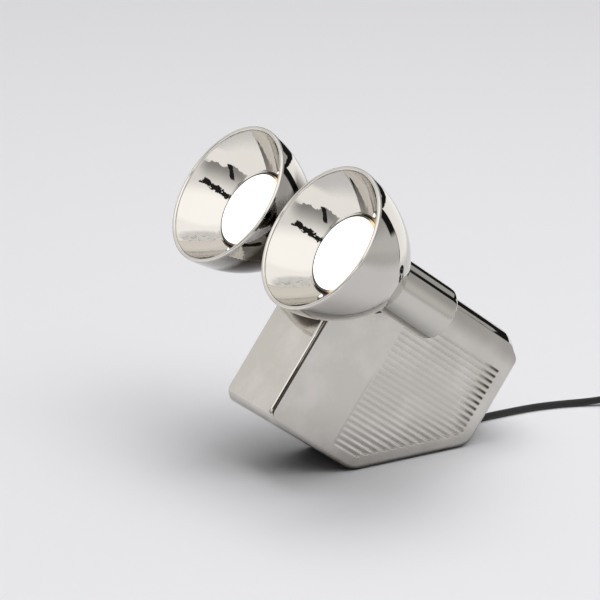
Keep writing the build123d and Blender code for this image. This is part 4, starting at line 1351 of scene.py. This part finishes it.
# %% Table
table_spin = camera_azimuth
table_forward = np.array([-sin(table_spin), cos(table_spin), 0.0])
table_right = np.array([cos(table_spin), sin(table_spin), 0.0])
near_end, far_end, half_span, widening = -0.75, 4.0, 1.1, 0.11
table_corners = np.array([
    table_forward * ahead + table_right * right for ahead, right in
    ((near_end, -half_span), (near_end, half_span), (far_end, half_span), (far_end, -half_span))])
table = mesh_object("table", table_corners, np.array([[0, 1, 2, 3]]))
paint, tree, shader = blank("table_paint")
shader.inputs["Base Color"].default_value = (0.80, 0.80, 0.82, 1)
shader.inputs["Roughness"].default_value = 0.9
shader.inputs["Specular IOR Level"].default_value = 0.2
spot = node(tree, "TexCoord").outputs["Object"]
sideways, ahead = dot(tree, spot, table_right), dot(tree, spot, table_forward)
wider = times(tree, ahead, widening)
there = region(tree, (maths(tree, "SUBTRACT", sideways, wider), 0.62, 0.36),
               (maths(tree, "ADD", sideways, wider), -0.62, -0.37),
               (ahead, -0.58, -0.40), (ahead, 3.9, 2.6))
gone = node(tree, "BsdfTransparent")
fading = node(tree, "MixShader", i0=there, i1=gone.outputs[0], i2=shader.outputs[0])
tree.links.new(fading.outputs[0], tree.nodes["Material Output"].inputs["Surface"])
table.data.materials.append(paint)
print("table", round(far_end - near_end, 2), "by", round(2 * half_span, 2), "m")

# %% [markdown]
# ## A drawn studio
#
# Mirror metal shows its room more than itself, and a studio is a room of large plain shapes.
# Modelled walls would also cast and block light. So the studio is drawn on the sky, for
# reflections alone: each shape is a mask over directions, laid over what is there already.
# *towards* says how directly a sight line points to a heading, and *ragged* tears the edges.

# %% Sky helpers
world = bpy.data.worlds.new("studio")
bpy.context.scene.world = world
world.use_nodes = True
sky = world.node_tree
sky.nodes.clear()
ray = node(sky, "TexCoord").outputs["Generated"]
height = node(sky, "SeparateXYZ", i0=ray).outputs[2]
wobble = maths(sky, "SUBTRACT", noise(sky, ray, 9.0, 5.0, 0.65), 0.5)


def heading(azimuth, elevation=0.0):
    """A direction by its angle from straight behind the lamp towards +X, and its height."""
    a, e = radians(azimuth), radians(elevation)
    return np.array([sin(a) * cos(e), cos(a) * cos(e), sin(e)])


def towards(azimuth, elevation=0.0):
    """1 along that heading, 0 square to it, -1 away from it."""
    return dot(sky, ray, heading(azimuth, elevation))


def ragged(value, amount):
    """A value with torn edges: the wobble moves it up and down."""
    return maths(sky, "ADD", value, times(sky, wobble, amount))


def layer(below, value, mask):
    """Brightness so far, with a new brightness laid over it where the mask is."""
    return node(sky, "Mix", {"data_type": "FLOAT"}, i0=mask, i2=below,
                i3=value).outputs[0]


print("heading(90):", heading(90).round(2).tolist())

# %% [markdown]
# ## Walls and soft boxes
#
# The room is mid grey, darker below the horizon and bright overhead. A wide soft box hangs in
# front and above, and a band of haze beside it gives the casing's top its slow shading. The pale
# floor in front and a lit wall to the right brighten the bowls from below and behind.

# %% Walls
wall = layer(0.70, 0.47, ramp(sky, height, -0.10, 0.20))
wall = layer(wall, 0.62, ramp(sky, height, -0.17, -0.29))
wall = layer(wall, 1.35, ramp(sky, height, 0.45, 0.85))
front = towards(125, 30)
wall = layer(wall, 1.05, ramp(sky, front, 0.55, 0.80))
wall = layer(wall, 1.5, region(sky, (front, 0.45, 0.6), (height, 0.3, 0.66)))
haze = layer(0.34, 1.3, ramp(sky, height, -0.12, 0.56))
wall = layer(wall, haze, ramp(sky, towards(150, 8), 0.82, 0.95))
wall = layer(wall, 1.22, region(sky, (towards(-178, -25), 0.5, 0.68),
                                (ragged(height, 0.40), -0.10, -0.115)))
wall = layer(wall, 0.92, ramp(sky, towards(-120, 25), 0.75, 0.9))
print("walls drawn, sky nodes:", len(sky.nodes))

# %% [markdown]
# ## Backdrop and its dark gap
#
# A pale backdrop stands behind the lamp. Its torn upper and right edges leave a black gap to the
# wall. Without such a gap polished metal looks like grey paint: its depth comes from thin dark
# lines next to bright areas.

# %% Backdrop
over = ragged(dot(sky, ray, (-0.1585, -0.5551, 0.8165)), 0.02)
beside = ragged(towards(88), 0.02)
behind = region(sky, (towards(-160), 0.1, -0.05), (beside, 0.225, 0.185))
side_gap = region(sky, (height, -0.08, 0.0), (height, 0.31, 0.27), (beside, -0.01, 0.0))
top_end = layer(-0.315, -0.262, ramp(sky, beside, -0.35, -0.39))
top_gap = times(sky, maths(sky, "LESS_THAN", over, top_end), ramp(sky, beside, 0.02, 0.0))
gap = times(sky, behind, maths(sky, "MAXIMUM", side_gap, top_gap))
backdrop = times(sky, region(sky, (over, -0.352, -0.36), (beside, 0.0, -0.012)), behind)
mirrored_sky = layer(layer(wall, 0.012, gap), 1.2, backdrop)
print("backdrop drawn, sky nodes:", len(sky.nodes))

# %% [markdown]
# ## Dark strokes and swirls
#
# The dishes also mirror whoever stands in the room. Figures would be much work for a few dark
# marks, so two ragged strokes do for them, one where a viewer would be and one beside the
# backdrop. Thin swirling lines high up behind the lamp end in the lower part of each dish.

# %% Strokes and swirls
viewer_way = heading(137, 27)
viewer_lean = np.cross(viewer_way, heading(150, 33))
viewer_lean /= np.linalg.norm(viewer_lean)
off_viewer = maths(sky, "ABSOLUTE", ragged(dot(sky, ray, viewer_lean), 0.35))
viewer = region(sky, (ragged(dot(sky, ray, viewer_way), 0.08), 0.955, 0.962),
                (off_viewer, 0.075, 0.065))
off_stroke = maths(sky, "ABSOLUTE", ragged(towards(67), 0.10))
torn_height = ragged(height, 0.1)
stroke = region(sky, (off_stroke, 0.048, 0.040), (towards(157), 0.0, 0.1),
                (torn_height, -0.17, -0.15), (torn_height, 0.15, 0.10))
for mark in (viewer, stroke):
    mirrored_sky = layer(mirrored_sky, 0.02, mark)
lines = maths(sky, "SUBTRACT", noise(sky, ray, 9.0, 1.5, distortion=1.6), 0.5)
lines = ramp(sky, maths(sky, "ABSOLUTE", lines), 0.016, 0.004)
mirrored_sky = layer(mirrored_sky, layer(0.95, 0.16, lines),
                     ramp(sky, towards(-50, 66), 0.955, 0.985))
print("strokes drawn, sky nodes:", len(sky.nodes))

# %% [markdown]
# ## Which rays see what
#
# A ray can be asked what it is for. Mirror rays from the lamp see the drawn studio, and straight
# sight lines see only a flat pale backdrop. All other light, which makes the shadows, comes from
# a plain sky that is brightest overhead, because the drawn strokes would blotch them. A mirror
# ray that starts on the matte table sees the plain sky too.

# %% World
overhead = layer(0.05, 1.12, ramp(sky, towards(40, 84), 0.42, 1.0))
rays = node(sky, "LightPath").outputs
from_metal = times(sky, rays["Is Glossy Ray"], maths(sky, "LESS_THAN", rays["Diffuse Depth"], 0.5))
studio, plain_sky, pale = (
    node(sky, "Background", Color=(*colour, 1), Strength=strength).outputs[0]
    for colour, strength in (((1.0, 0.99, 0.975), mirrored_sky), ((1.0, 1.0, 1.0), overhead),
                             ((0.77, 0.775, 0.785), 1.0)))
lit = node(sky, "MixShader", i0=from_metal, i1=plain_sky, i2=studio).outputs[0]
shown = node(sky, "MixShader", i0=rays["Is Camera Ray"], i1=lit, i2=pale).outputs[0]
node(sky, "OutputWorld", i0=shown)
print("sky nodes:", len(sky.nodes))

# %% [markdown]
# ## Soft lights
#
# Two large soft lights hang high over the table, one to the lamp's left and one nearly above it.
# The larger a light, the softer its shadow. The metal doesn't mirror them, because the drawn
# studio already has their place in the reflections.

# %% Soft lights
for name, energy, wide, high, stand in (("key", 41, 3.0, 2.4, (2.2, 0.7, 3.3)),
                                        ("fill", 48, 2.8, 2.2, (-0.5, 0.0, 3.9))):
    light = bpy.data.objects.new(name, bpy.data.lights.new(name, "AREA"))
    light.data.shape = "RECTANGLE"
    light.data.size, light.data.size_y = wide, high
    light.data.energy = energy
    light.location = stand
    aim = (Vector((0, 0, 0.1)) - light.location).to_track_quat("-Z", "Y")
    light.rotation_euler = aim.to_euler()
    light.visible_glossy = False
    bpy.context.scene.collection.objects.link(light)
print("lights:", len(bpy.data.lights))

# %% [markdown]
# ## Finish
#
# The view transform is set.

# %% Finish
bpy.context.scene.view_settings.view_transform = "Standard"
